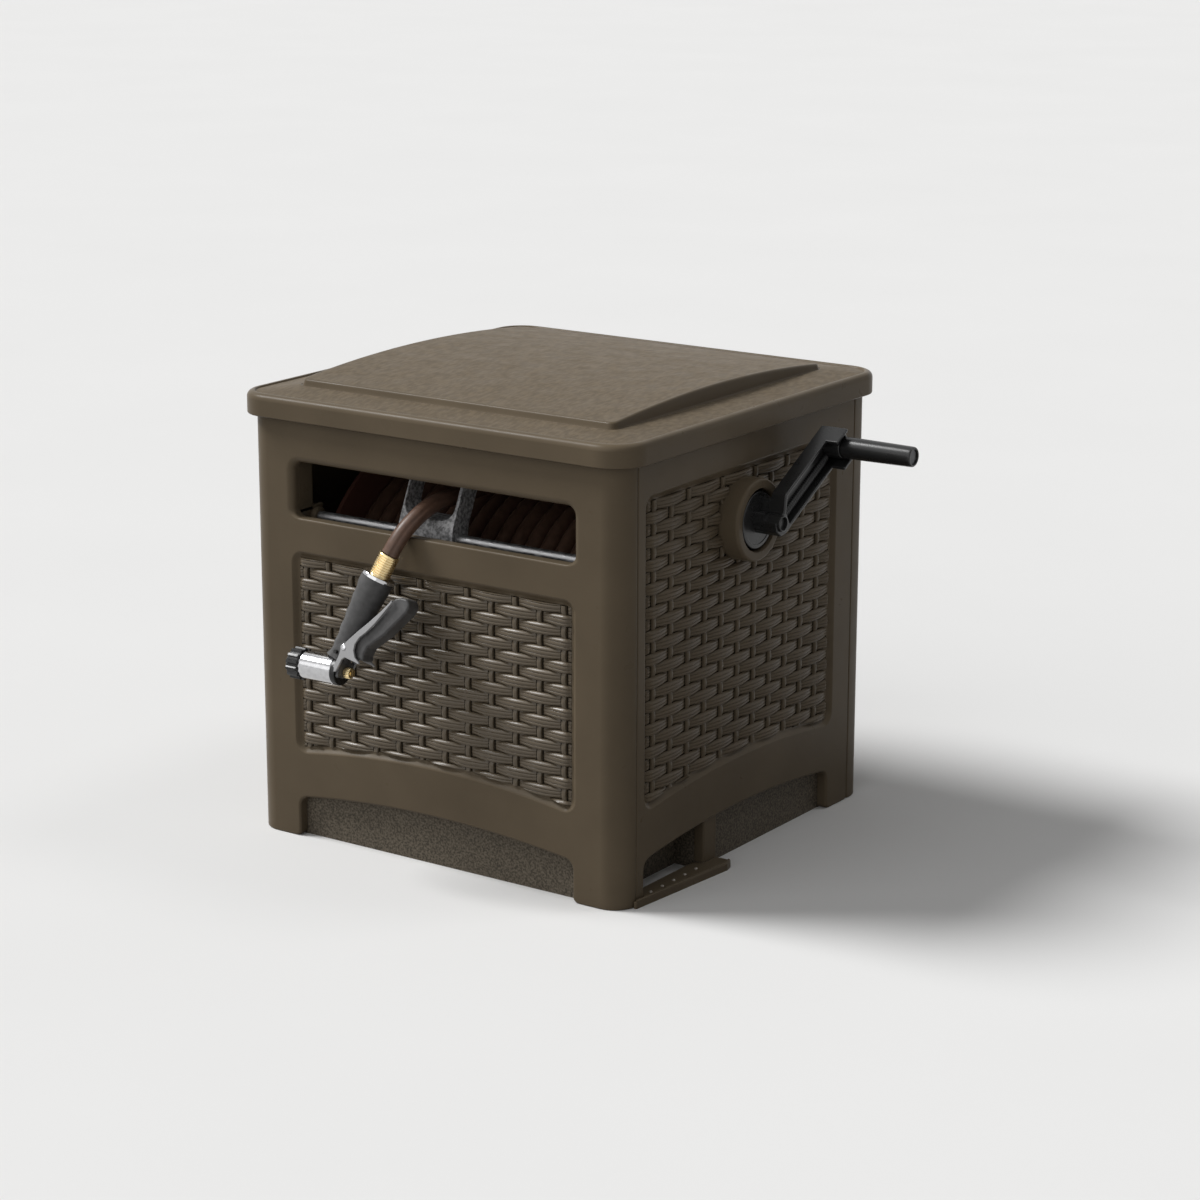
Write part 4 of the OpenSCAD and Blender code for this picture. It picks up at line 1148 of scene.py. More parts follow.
@dataclass
class Wall:
    """One wall of the case, drawn flat and wrapped round its corners."""

    side: Side
    node: str
    start: float
    end: float
    arch: tuple[float, float]
    field: tuple[float, float, float, float]
    field_rise: float
    width: float = 500.0
    depth: float = 502.0
    height: float = 500.0
    corner: float = 28.0
    thickness: float = 12.0
    arch_z: float = 46.0
    arch_rise: float = 13.0
    recess: float = 5.0
    lip: float = 5.0
    toe_r: float = 4.0
    foot_r: float = 6.5
    arch_r: float = 12.0
    field_r: float = 7.0
    slot_r: float = 10.0
    slot: Optional[tuple[float, float, float, float]] = None

    def place(self, u: float, v: float, d: float) -> Point:
        """Wraps a flat place round the case.

        Args:
            u: Distance along the wall.
            v: Height.
            d: Depth under the face.

        Returns:
            The point.
        """
        if self.side in (Side.LEFT, Side.RIGHT):
            x = self.width / 2 - d
            return (x if self.side is Side.RIGHT else -x, u, v)
        sign = 1.0 if u >= 0 else -1.0
        flat = self.width / 2 - self.corner
        mid = self.depth / 2 - self.corner
        over = abs(u) - flat
        if over <= 0:
            x, y = abs(u), mid + self.corner - d
        elif over <= self.corner * math.pi / 2:
            a = over / self.corner
            x, y = flat + (self.corner - d) * math.sin(a), mid + (self.corner - d) * math.cos(a)
        else:
            x, y = self.width / 2 - d, mid - (over - self.corner * math.pi / 2)
        return (sign * x, -y if self.side is Side.FRONT else y, v)

    def arc_z(self, u: float, ends: tuple[float, float], z: float, rise: float) -> float:
        """Gives an arch's height.

        Args:
            u: Place along the wall.
            ends: Ends of the arch.
            z: Height at the ends.
            rise: Rise in the middle.

        Returns:
            The height.
        """
        half = (ends[1] - ends[0]) / 2
        radius = (half * half + rise * rise) / (2 * rise)
        off = min(abs(u - (ends[0] + ends[1]) / 2), half)
        return z + rise - radius + math.sqrt(radius * radius - off * off)

    def outline(self) -> np.ndarray:
        """Draws the wall's outline with its foot arch.

        Returns:
            The outline.
        """
        a0, a1 = self.arch
        corners = [(self.start, self.height, 2.0), (self.start, 0.0, self.toe_r)]
        corners += [(a0, 0.0, self.foot_r), (a0, self.arch_z, self.arch_r)]
        for u in np.linspace(a0 + 26, a1 - 26, 24):
            corners.append((float(u), self.arc_z(float(u), self.arch, self.arch_z, self.arch_rise), 0.0))
        corners += [(a1, self.arch_z, self.arch_r), (a1, 0.0, self.foot_r)]
        corners += [(self.end, 0.0, self.toe_r), (self.end, self.height, 2.0)]
        return rounded_loop(corners, 7, 7.0)

    def field_floor(self, u: float) -> float:
        """Gives the height of the woven field's lower edge.

        Args:
            u: Place along the wall.

        Returns:
            The height.
        """
        u0, u1, z0, _ = self.field
        return self.arc_z(u, (u0, u1), z0, self.field_rise) + self.lip

    def field_loop(self) -> np.ndarray:
        """Draws the woven field's floor.

        Returns:
            The outline.
        """
        u0, u1, _, z1 = self.field
        u0, u1 = u0 + self.lip, u1 - self.lip
        top, r = z1 - self.lip, self.field_r
        corners = [(u0, top, r), (u0, self.field_floor(u0), r)]
        for u in np.linspace(u0 + 20, u1 - 20, 24):
            corners.append((float(u), self.field_floor(float(u)), 0.0))
        corners += [(u1, self.field_floor(u1), r), (u1, top, r)]
        return rounded_loop(corners, 5, 30.0)

    def edge_radii(self, loop: np.ndarray) -> np.ndarray:
        """Gives the outline's rounding: broad at the foot arch, fine at the seams.

        Args:
            loop: The wall's outline.

        Returns:
            Radius at each point.
        """
        a0, a1 = self.arch
        foot = (loop[:, 0] > a0 - 4) & (loop[:, 0] < a1 + 4) & (loop[:, 1] < 100)
        return smoothed(np.where(foot, 3.0, 1.8), 4)

    def lines(self) -> list[np.ndarray]:
        """Gives upright lines that the faces' edges keep to at bent corners.

        Returns:
            The lines.
        """
        if self.side in (Side.LEFT, Side.RIGHT):
            return []
        flat = self.width / 2 - self.corner
        steps = 8
        places = [flat + self.corner * math.pi / 2 * k / steps for k in range(steps)]
        levels = np.linspace(9.0, self.height - 4, 12)
        return [np.array([(s * u, v) for v in levels]) for u in places for s in (-1.0, 1.0)]

    def extras(self, draft: Draft) -> None:
        """Adds what stands on this wall only.

        Args:
            draft: Draft of the wall.
        """
        if self.side is Side.FRONT:
            for low, high in ((-194.0, -188.0), (188.0, 194.0)):
                draft.block((low, -239.5, 370.0), (high, -215.0, 437.0), 1.5)
                draft.block((low, -239.5, 351.0), (high, -198.0, 376.0), 1.5)
        if self.side is Side.BACK:
            for x in (-150.0, 150.0):
                axes = Axes.of((x - 10.0, 256.0, 482.0), (1, 0, 0), (0, 1, 0))
                draft.turn([(0, 4.0), (0.5, 4.5), (19.5, 4.5), (20, 4.0)], axes, 24)
                draft.block((x - 10.0, 250.0, 477.5), (x + 10.0, 256.0, 486.5), 0.4)

    def build(self) -> None:
        """Builds the wall."""
        loop = self.outline()
        slope = [(8.6, 0.0), (7.9, 0.12), (7.1, 0.55), (6.0, 1.5), (5.0, 2.4), (4.0, 3.3), (3.0, 4.15)]
        slope += [(2.1, 4.7), (1.0, 4.95), (0.0, self.recess)]
        # The field's floor takes mark 1, the SHADOW finish: painted shade behind the weave.
        cuts = [Cut(self.field_loop(), slope, 1)]
        if self.slot:
            u0, u1, z0, z1 = self.slot
            ring = rounded_loop(rectangle(u0, z0, u1, z1, self.slot_r), 8, 30.0)
            radii = smoothed(np.where(ring[:, 1] < z0 + 4.0, 2.5, 8.0), 3)
            cuts.append(Cut(ring, fillet(radii, 6)))
        draft = Draft()
        draft.slab(loop, fillet(self.edge_radii(loop), 4), self.place, self.thickness, cuts, self.lines())
        self.extras(draft)
        draft.piece(f"{self.side.value}_wall", Body.CASE, [CASE, SHADOW], [self.node])


@dataclass
class Weave:
    """The woven bars and stakes in a wall's field."""

    wall: Wall
    stake_at: float
    stake_pitch: float
    row_at: float
    row_pitch: float = 12.7
    half: float = 6.5
    border: float = 5.2
    deepest: float = 4.9
    keep_out: Optional[tuple[float, float, float]] = None

    # Height over the middle, as a share of the half height, and depth under the crest
    PROFILE = (
        (-1.0, 3.6),
        (-0.92, 1.7),
        (-0.78, 0.6),
        (-0.6, 0.25),
        (-0.44, 0.45),
        (-0.36, 1.1),
        (-0.28, 0.4),
        (-0.02, 0.0),
        (0.24, 0.4),
        (0.32, 1.1),
        (0.4, 0.45),
        (0.5, 0.1),
        (0.64, 0.4),
        (0.78, 1.2),
        (0.92, 2.3),
        (1.0, 3.6),
    )
    # Distance from a stake that a row goes under, and the row's depth there
    DIVE = (
        (0.0, 4.9),
        (3.6, 4.9),
        (5.0, 4.3),
        (8.0, 3.4),
        (11.0, 2.65),
        (14.0, 1.95),
        (18.0, 1.2),
        (23.0, 0.5),
        (28.0, 0.1),
        (33.0, 0.0),
    )
    # Distance from the field's end, and the least depth there
    TUCK = ((0.0, 4.6), (1.6, 3.2), (3.2, 1.6), (5.5, 0.5), (8.0, 0.0))
    # Section of a stake
    STAKE = ((-3.0, 3.4), (-2.8, 1.0), (-2.2, 0.25), (0.0, 0.0), (2.2, 0.25), (2.8, 1.0), (3.0, 3.4))

    def outside(self, u: float, v: float) -> bool:
        """Tells whether a place is clear of the fitting on the wall.

        Args:
            u: Place along the wall.
            v: Height.

        Returns:
            True where the weave shows.
        """
        if self.keep_out is None:
            return True
        middle_u, middle_v, radius = self.keep_out
        return math.hypot(u - middle_u, v - middle_v) > radius

    def places(self) -> list[float]:
        """Lists the places along the wall that a row bends at.

        Returns:
            Places from one end of the field to the other.
        """
        u0, u1 = self.wall.field[0] + self.border, self.wall.field[1] - self.border
        found = [u0, u1]
        for off, _ in self.TUCK[1:]:
            found += [u0 + off, u1 - off]
        reach = math.ceil((u1 - u0) / self.stake_pitch) + 1
        for k in range(-reach, reach + 1):
            for off in (0.0, 3.6, 5.0, 8.0, 11.0, 14.0, self.stake_pitch / 2):
                for u in {self.stake_at + k * self.stake_pitch + s * off for s in (-1, 1)}:
                    if u0 + 0.5 < u < u1 - 0.5:
                        found.append(u)
        return sorted(set(found))

    def away(self, u: float, row: int) -> float:
        """Gives the distance to the nearest stake that a row goes under.

        Args:
            u: Place along the wall.
            row: Number of the row.

        Returns:
            The distance.
        """
        turns = (u - self.stake_at) / (2 * self.stake_pitch) + (row + 1) / 2
        return abs(turns - round(turns)) * 2 * self.stake_pitch

    def bars(self, draft: Draft) -> None:
        """Weaves the rows.

        Args:
            draft: Draft to add to.
        """
        _, _, z0, z1 = self.wall.field
        top = z1 - self.border
        places = self.places()
        reach, depth = zip(*self.DIVE)
        inside, least = zip(*self.TUCK)
        first = -math.floor((top + self.half - 1.0 - self.row_at) / self.row_pitch)
        last = math.floor((self.row_at - z0) / self.row_pitch)
        for row in range(first, last + 1):
            middle = self.row_at - row * self.row_pitch
            columns: list[list[int]] = []
            alive: list[bool] = []
            deep_painted_shade: list[bool] = []
            for u in places:
                floor = self.wall.field_floor(u)
                far = self.away(u, row)
                under = float(np.interp(far, reach, depth))
                sunk = max(under, float(np.interp(min(u - places[0], places[-1] - u), inside, least)))
                tall = self.half * (1.0 - 0.035 * sunk)
                column = []
                for t, sink in self.PROFILE:
                    level = min(max(middle + t * tall, floor), top)
                    column.append(self.wall.place(u, level, min(sunk + sink, self.deepest)))
                columns.append(draft.add(column))
                alive.append(middle + tall > floor + 0.5 and self.outside(u, middle))
                deep_painted_shade.append(under > 4.2)
            for i in range(len(places) - 1):
                if alive[i] and alive[i + 1]:
                    # Cells where both ends dive past 4.2 mm take the SHADOW finish: painted shade in the
                    # holes beside the stakes.
                    draft.mark = int(deep_painted_shade[i] and deep_painted_shade[i + 1])
                    draft.strip(columns[i], columns[i + 1], False)
        draft.mark = 0

    def stakes(self, draft: Draft) -> None:
        """Stands the stakes.

        Args:
            draft: Draft to add to.
        """
        u0, u1, _, z1 = self.wall.field
        margin = 9.0
        first = math.ceil((u0 + margin - self.stake_at) / self.stake_pitch)
        last = math.floor((u1 - margin - self.stake_at) / self.stake_pitch)
        for k in range(first, last + 1):
            u = self.stake_at + k * self.stake_pitch
            low = self.wall.field_floor(u)
            top = z1 - self.border
            rows: list[Optional[list[int]]] = []
            for v in np.linspace(low, top, math.ceil((top - low) / 3.2) + 1):
                if not self.outside(u, float(v)):
                    rows.append(None)
                    continue
                w = math.cos(math.pi * ((self.row_at - v) / self.row_pitch + k))
                d = 3.0 + 1.3 * math.copysign(abs(w) ** 0.6, w)
                ring = [self.wall.place(u + a, float(v), min(d + q, self.deepest)) for a, q in self.STAKE]
                rows.append(draft.add(ring))
            for a, b in zip(rows, rows[1:]):
                if a is not None and b is not None:
                    draft.strip(a, b, False)

    def build(self) -> None:
        """Builds the weave of one wall."""
        draft = Draft()
        self.bars(draft)
        self.stakes(draft)
        # The back and side walls take the copy with the weaker specular, as painted shade.
        face = WEAVE if self.wall.side is Side.FRONT else SHADED_SIDE_WEAVE
        name = f"{self.wall.side.value}_weave"
        draft.piece(name, Body.CASE, [face, SHADOW], [self.wall.node], sharp=60.0)


@dataclass
class Case:
    """The walls, the foot plate, the crank's dish and the guide rod."""

    reel_y: float = -18.0
    crank_z: float = 383.0
    half_run: float = 265.98
    inlet_z: float = 233.0
    end_stakes: tuple[float, float] = (-142.2, 31.6)
    side_stakes: tuple[float, float] = (-155.0, 33.0)
    front_row: float = 307.65
    top_row: float = 429.25
    studs: int = 5
    stud_pitch: float = 22.0

    def walls(self) -> list[Wall]:
        """Lists the walls.

        Returns:
            Front, back, left and right wall.
        """
        front_field = (-188.0, 188.0, 100.0, 329.0)
        back_field = (-188.0, 188.0, 100.0, 440.0)
        side_field = (-206.0, 174.0, 103.0, 440.0)
        foot = (-187.0, 187.0)
        side_foot = (-208.0, 168.0)
        run = self.half_run
        slot = (-188.0, 188.0, 369.0, 431.0)
        return [
            Wall(Side.FRONT, "front_panel", -run, run, foot, front_field, 16.0, slot=slot),
            Wall(Side.BACK, "back_panel", -run - 9.0, run + 9.0, foot, back_field, 16.0),
            Wall(Side.LEFT, "left_panel", -222.6, 213.6, side_foot, side_field, 14.0),
            Wall(Side.RIGHT, "right_panel", -222.6, 213.6, side_foot, side_field, 14.0),
        ]

    def pad(self) -> None:
        """Builds the foot plate with its lip and studs."""
        corners = [
            (234.0, -207.6, 1.0),
            (250.4, -207.6, 0.0),
            (250.4, -229.0, 1.0),
            (254.0, -229.0, 2.0),
            (268.0, -72.0, 3.0),
            (265.0, -60.0, 2.0),
            (250.4, -60.0, 0.5),
            (250.4, -61.0, 0.0),
            (239.0, -61.0, 0.5),
            (239.0, -86.4, 0.0),
            (234.0, -86.4, 1.0),
        ]
        loop = rounded_loop(corners, 4, 40.0)
        draft = Draft()
        draft.slab(loop, fillet(0.8, 3), lambda u, v, d: (u, v, 8.0 - d), 8.0)
        lip = np.array([(253.0, -226.0, 8.2), (265.5, -74.0, 8.2), (263.5, -62.0, 8.2)])
        draft.tube(lip, 1.6, 10, (0, 0, 1))
        # The studs take the pale finish: painted highlight.
        draft.mark = 1
        for i in range(self.studs):
            axes = Axes.of((249.0, -194.0 + self.stud_pitch * i, 7.5), (0, 0, 1), (1, 0, 0))
            draft.turn([(0, 2.1), (0.8, 2.0), (1.4, 1.6), (1.8, 0.9), (2.0, 0.3)], axes, 20)
        draft.piece("foot_plate", Body.CASE, [CASE, PALE_STUD_HIGHLIGHT], ["step_pad"])
        post = Draft()
        post.block((233.0, -86.6, 7.8), (246.2, -60.6, 58.0), 2.2)
        post.piece("post", Body.CASE, [CASE])

    def dish(self) -> None:
        """Builds the round dish about the crank's axis."""
        axes = Axes.of((0.0, self.reel_y, self.crank_z), (1, 0, 0), (0, 1, 0))
        profile = [
            (245.0, 15.3),
            (245.0, 46.0),
            (266.0, 45.6),
            (268.0, 45.2),
            (269.2, 44.4),
            (269.8, 43.4),
            (270.0, 42.2),
            (270.0, 36.2),
            (269.7, 35.3),
            (268.4, 34.6),
            (266.6, 34.1),
            (264.0, 34.0),
            (250.6, 34.0),
            (250.0, 33.4),
            (250.0, 15.3),
            (245.0, 15.3),
        ]
        draft = Draft()
        draft.turn(profile, axes, 96)
        draft.piece("crank_dish", Body.CASE, [CASE], ["crank_escutcheon"])

    def rod(self) -> None:
        """Builds the guide rod and the rings at its ends."""
        axes = Axes.of((0.0, -210.0, 363.0), (1, 0, 0), (0, 1, 0))
        draft = Draft()
        draft.turn([(-194.0, 5.4), (-193.4, 6.0), (193.4, 6.0), (194.0, 5.4)], axes, 40)
        draft.piece("rod", Body.CASE, [ROD], ["guide_rod"])
        profile = [(188.0, 6.1), (188.0, 10.0), (183.4, 10.0), (182.5, 9.5), (182.0, 8.6)]
        profile += [(182.0, 6.5), (182.4, 6.1), (188.0, 6.1)]
        rings = Draft()
        for s in (-1.0, 1.0):
            rings.turn([(s * a, r) for a, r in profile], axes, 40)
        rings.piece("rod_rings", Body.CASE, [CASE], ["rod_sockets"])

    def build(self) -> None:
        """Builds the case."""
        for wall in self.walls():
            wall.build()
            if wall.side is Side.FRONT:
                Weave(wall, *self.end_stakes, self.front_row).build()
            elif wall.side is Side.BACK:
                Weave(wall, *self.end_stakes, self.top_row).build()
            elif wall.side is Side.RIGHT:
                about = (self.reel_y, self.crank_z, 44.0)
                Weave(wall, *self.side_stakes, self.top_row, keep_out=about).build()
            else:
                about = (self.reel_y, self.inlet_z, 22.0)
                Weave(wall, *self.side_stakes, self.top_row, keep_out=about).build()
        self.pad()
        self.dish()
        self.rod()


# Lid


@dataclass
class Lid:
    """The lid: a rolled rim, a border that slopes up from it and a raised, arched middle."""

    half_x: float = 261.0
    half_y: float = 262.0
    corner: float = 39.0
    skirt_z: float = 479.0
    border_z: float = 502.2
    rim_z: float = 503.9
    rim_r: float = 7.2
    foot_z: float = 507.6
    crown_x: float = 209.0
    crown_y0: float = -207.0
    crown_y1: float = 206.0
    crest: float = 524.3
    arch_r: float = 1970.0
    arch_y: float = -8.0
    crown_lean: float = 0.05
    front_lean: float = 0.15
    hinge_x: float = 150.0
    notch: float = 11.0
    notch_z: float = 487.6
    crown_r: float = 9.0

    def ring(self, half_x: float, y0: float, y1: float, corner: float) -> np.ndarray:
        """Draws a rounded rectangle with the same number of points each time.

        Args:
            half_x: Half width.
            y0: Front edge.
            y1: Rear edge.
            corner: Corner radius.

        Returns:
            Points, anticlockwise from the right front.
        """
        near, far = self.hinge_x - self.notch, self.hinge_x + self.notch
        marks = [s * (m + d) for s in (-1, 1) for m in (near, far) for d in (-0.2, 0.2)]
        flat_x = half_x - corner
        run_x = np.array(sorted([*np.linspace(-0.98, 0.98, 15) * flat_x, *marks]))
        run_x = np.clip(run_x, -flat_x, flat_x)
        run_y = np.linspace(y0 + corner, y1 - corner, 22)[1:-1]
        turns = np.linspace(0, math.pi / 2, 11)
        mid = (half_x - corner, y1 - corner)
        low = (half_x - corner, y0 + corner)
        points = [(low[0] + corner * math.sin(t), low[1] - corner * math.cos(t)) for t in turns]
        points += [(half_x, y) for y in run_y]
        points += [(mid[0] + corner * math.cos(t), mid[1] + corner * math.sin(t)) for t in turns]
        points += [(x, y1) for x in run_x[::-1]]
        points += [(-mid[0] - corner * math.sin(t), mid[1] + corner * math.cos(t)) for t in turns]
        points += [(-half_x, y) for y in run_y[::-1]]
        points += [(-low[0] - corner * math.cos(t), low[1] - corner * math.sin(t)) for t in turns]
        points += [(x, y0) for x in run_x]
        return np.array(points)

    def top_z(self, y: float) -> float:
        """Gives the raised middle's height.

        Args:
            y: Place from front to back.

        Returns:
            The height.
        """
        off = y - self.arch_y
        return self.crest - self.arch_r + math.sqrt(self.arch_r**2 - off * off)

    def rim_rings(self) -> list[list[Point]]:
        """Draws the skirt and the rolled rim.

        Returns:
            Rings from the skirt's lower edge to the border.
        """
        r, z = self.rim_r, self.rim_z
        section = [(0.6, self.skirt_z), (0.0, self.skirt_z + 0.8), (0.0, z - r)]
        turns = np.linspace(0.15, math.pi / 2, 7)
        section += [(r - r * math.cos(a), z - r + r * math.sin(a)) for a in turns]
        section += [(r + 0.9, z), (r + 1.6, z - 0.3), (r + 2.2, z - 1.0), (r + 2.7, self.border_z)]
        rings = []
        for i, (inset, level) in enumerate(section):
            loop = self.ring(
                self.half_x - inset, -self.half_y + inset, self.half_y - inset, self.corner - inset
            )
            ring = []
            for x, y in loop:
                notched = i < 2 and y > self.half_y - 2 and abs(abs(x) - self.hinge_x) < self.notch
                ring.append((x, y, self.notch_z + 0.4 * i if notched else level))
            rings.append(ring)
        return rings

    def crown_ring(self, out: float, share: float, drop: float) -> list[Point]:
        """Draws a ring on the raised middle's side.

        Args:
            out: Distance outwards from the raised middle's edge.
            share: Share of the way from the border up to the top.
            drop: Depth below the height that the share gives.

        Returns:
            The ring.
        """
        loop = self.ring(self.crown_x + out, self.crown_y0 - out, self.crown_y1 + out, self.crown_r + out)
        ring = []
        for x, y in loop:
            rise = self.top_z(y) - self.foot_z
            left = rise * (1.0 - share)
            at_side = abs(x) > self.crown_x - 12.0
            at_front = y < self.crown_y0 + 12.0
            lean_x = self.crown_lean * left * math.copysign(1.0, x) if at_side else 0.0
            lean_y = self.front_lean * left if at_front else 0.0
            ring.append((x + lean_x, y - lean_y, self.foot_z + share * rise - drop))
        return ring

    def build(self) -> None:
        """Builds the lid."""
        draft = Draft()
        rim = [draft.add(r) for r in self.rim_rings()]
        for a, b in zip(rim, rim[1:]):
            draft.strip(a, b)
        border = [draft.add(self.crown_ring(o, 0.0, s)) for o, s in ((3.2, 0.0), (2.0, 0.7), (1.0, 0.7))]
        draft.mark = 1
        draft.strip(rim[-1], border[0])
        draft.mark = 0
        side = [(0.35, 0.0, -0.3), (0.0, 0.0, -1.2), (0.0, 1.0, 3.0), (-0.3, 1.0, 1.9), (-0.9, 1.0, 1.05)]
        side += [(-1.7, 1.0, 0.45), (-2.7, 1.0, 0.12), (-4.0, 1.0, 0.0)]
        rows = border + [draft.add(self.crown_ring(*s)) for s in side]
        for a, b in zip(rows, rows[1:]):
            draft.strip(a, b)
        draft.mark = 1
        edge = np.array(self.crown_ring(-4.0, 1.0, 0.0))
        centre = np.array([0.0, (self.crown_y0 + self.crown_y1) / 2])
        last = rows[-1]
        for share in np.linspace(0.92, 0.08, 12):
            ring = centre + (edge[:, :2] - centre) * share
            ids = draft.add([(x, y, self.top_z(y)) for x, y in ring])
            draft.strip(last, ids)
            last = ids
        draft.face(last)
        draft.piece("lid", Body.LID, [CASE, GRAINED], ["lid_shell"], 34.0, 3.0)
        ears = Draft()
        for x in (-self.hinge_x, self.hinge_x):
            for low in (-22.0, 11.2):
                axes = Axes.of((x + low, 256.0, 482.0), (1, 0, 0), (0, 1, 0))
                ears.turn([(0, 2.6), (0.3, 3.0), (10.5, 3.0), (10.8, 2.6)], axes, 20)
                ears.block((x + low, 253.5, 482.5), (x + low + 10.8, 259.5, 499.8), 0.5)
        ears.piece("lid_ears", Body.LID, [CASE])


# Crank


@dataclass
class Crank:
    """The crank: hub, channelled arm and turning grip."""

    y: float = -18.0
    z: float = 383.0
    angle: float = 29.0
    reach: float = 132.0
    arm_x0: float = 279.0
    arm_x1: float = 296.5
    floor_x: float = 285.0

    # Outline of the arm's root and the rounding of its corners
    ROOT = (
        (22.0, 21.5, 2.5),
        (11.0, 6.0, 3.0),
        (-8.0, 6.0, 2.0),
        (-11.0, -4.0, 4.0),
        (-7.0, -13.0, 4.0),
        (3.0, -16.5, 4.0),
    )

    def axes(self, x: float) -> Axes:
        """Gives axes on the crank: out along X, then along the arm.

        Args:
            x: Place along the crank's axis.

        Returns:
            The axes.
        """
        t = math.radians(self.angle)
        return Axes.of((x, self.y, self.z), (1, 0, 0), (0, math.cos(t), math.sin(t)))

    def round_at(self, x: float, along: float) -> Axes:
        """Gives the axes of a round boss on the arm.

        Args:
            x: Place along the crank's axis.
            along: Place along the arm.

        Returns:
            The axes.
        """
        return Axes.of(tuple(self.axes(x).at(0.0, along, 0.0)), (1, 0, 0), (0, 1, 0))

    def hub(self) -> None:
        """Builds the inset disc and the stepped block on it."""
        draft = Draft()
        axes = self.axes(0.0)
        disc = [(256.0, 30.8), (256.6, 31.5), (266.4, 31.5), (267.5, 31.1), (268.0, 30.2)]
        draft.turn([*disc, (268.0, 27.0), (267.4, 26.4), (267.4, 0.0)], axes, 72)
        loop = rounded_loop([*self.ROOT, (24.0, -16.5, 1.0)], 4, 30.0)
        rings = [[axes.at(x, u, v) for u, v in loop] for x in (267.0, self.arm_x0 + 0.1)]
        draft.loft(rings, True, (True, True))
        draft.piece("hub", Body.CRANK, [BLACK], ["crank_hub"])

    def rib(self, draft: Draft) -> None:
        """Adds the half-round rib with its fine cross ridges.

        Args:
            draft: Draft of the arm.
        """
        axes = self.axes(0.0)
        middle, radius, ridge, pitch = -7.2, 5.3, 0.3, 3.2
        rows = []
        for u in np.arange(19.5, self.reach - 13.0, 0.8):
            r = radius + ridge * math.cos(2 * math.pi * u / pitch)
            row = []
            for t in np.linspace(0, math.pi, 13):
                row.append(axes.at(self.floor_x + r * math.sin(t), u, middle + r * math.cos(t)))
            rows.append(row)
        draft.loft(rows, False)
        for end in (rows[0], rows[-1]):
            draft.face(draft.add(end))

    def arm(self) -> None:
        """Builds the channelled arm with its rib, its lug and the taller walls about the boss."""
        axes = self.axes(0.0)
        end, over, under, wall = self.reach + 8.0, 21.5, 16.5, 4.0

        def place(u: float, v: float, d: float) -> np.ndarray:
            return axes.at(self.arm_x1 - d, u, v)

        tip = [(end, -under, 3.0), (end, over, 2.5)]
        outline = rounded_loop([*self.ROOT, *tip], 5, 60.0)
        inner = [(26.0, over - wall, 2.0), (14.0, 4.0, 2.0), (14.0, wall - under, 2.0)]
        inner += [(end - wall, wall - under, 2.0), (end - wall, over - wall, 2.0)]
        pocket = Cut(rounded_loop(inner, 4, 60.0), [*fillet(1.3, 4), (0.0, self.arm_x1 - self.floor_x)], 0)
        draft = Draft()
        draft.slab(outline, fillet(1.5, 4), place, self.arm_x1 - self.arm_x0, [pocket])
        draft.block((self.floor_x, 115.0, over - wall), (311.0, end - 0.2, over - 0.05), 1.4, axes)
        draft.block((self.floor_x, 113.0, 0.05 - under), (312.0, end - 0.2, wall - under), 1.4, axes)
        draft.block((self.floor_x, end - wall, 1.5 - under), (307.0, end - 0.1, over - 1.5), 1.4, axes)
        self.rib(draft)
        boss = [(0.0, 13.0), (19.4, 13.0), (20.5, 12.4), (21.0, 11.4), (21.0, 0.0)]
        draft.turn(boss, self.round_at(self.floor_x - 0.2, self.reach), 48)
        lug = [(0.0, 9.0), (13.6, 9.0), (14.7, 8.6), (15.0, 7.8)]
        lug += [(14.6, 7.2), (9.0, 7.1), (4.2, 7.0), (4.2, 0.0)]
        draft.turn(lug, self.round_at(self.floor_x, 0.0), 40)
        draft.piece("arm", Body.CRANK, [BLACK], ["crank_arm", "crank_screw"])

    def grip(self) -> None:
        """Builds the turning grip."""
        axes = self.round_at(0.0, self.reach)
        profile = [(306.3, 5.1), (306.3, 11.3), (306.9, 11.9), (308.0, 12.0), (345.0, 11.75), (389.5, 11.2)]
        profile += [(391.4, 10.9), (392.2, 10.2), (392.3, 9.4), (392.0, 8.6), (391.0, 8.3), (388.0, 8.3)]
        profile += [(388.0, 5.1), (306.3, 5.1)]
        draft = Draft()
        draft.turn(profile, axes, 56)
        draft.piece("grip", Body.HANDLE, [BLACK], ["crank_grip"])

    def build(self) -> None:
        """Builds the crank."""
        self.hub()
        self.arm()
        self.grip()


# Hose guide


@dataclass
class Guide:
    """The yoke that slides on the rod and carries the hose."""

    x0: float = -62.0
    x1: float = 11.0
    y0: float = -224.0
    depth: float = 28.0
    z0: float = 352.0
    z1: float = 447.0
    bend_z: float = 374.0
    lean: float = 0.45
    mouth: tuple[float, float, float, float] = (-59.5, 7.5, 384.0, 443.0)

    def place(self, u: float, v: float, d: float) -> Point:
        """Gives a point of the yoke, which leans back above its foot.

        Args:
            u: Place along the rod.
            v: Height.
            d: Depth under the face.

        Returns:
            The point.
        """
        return (u, self.y0 + self.lean * max(0.0, v - self.bend_z) + d, v)

    def build(self) -> None:
        """Builds the yoke with its wide mouth."""
        outline = rounded_loop(rectangle(self.x0, self.z0, self.x1, self.z1, 3.0, 5.0), 5, 11.0)
        left, right, bottom, top = self.mouth
        mouth = rounded_loop(rectangle(left, bottom, right, top, 15.0, 12.0), 9, 8.0)
        bend = [np.array([(u, self.bend_z) for u in np.linspace(self.x0 + 1.5, self.x1 - 1.5, 12)])]
        bead = [(1.7, 0.0), (1.4, -0.4), (0.9, -0.6), (0.4, -0.4), (0.1, 0.1), (0.0, 0.9)]
        draft = Draft()
        draft.slab(outline, fillet(0.6, 3), self.place, self.depth, [Cut(mouth, bead)], bend)
        draft.piece("yoke", Body.GUIDE, [YOKE], ["guide_carriage"])


# Nozzle


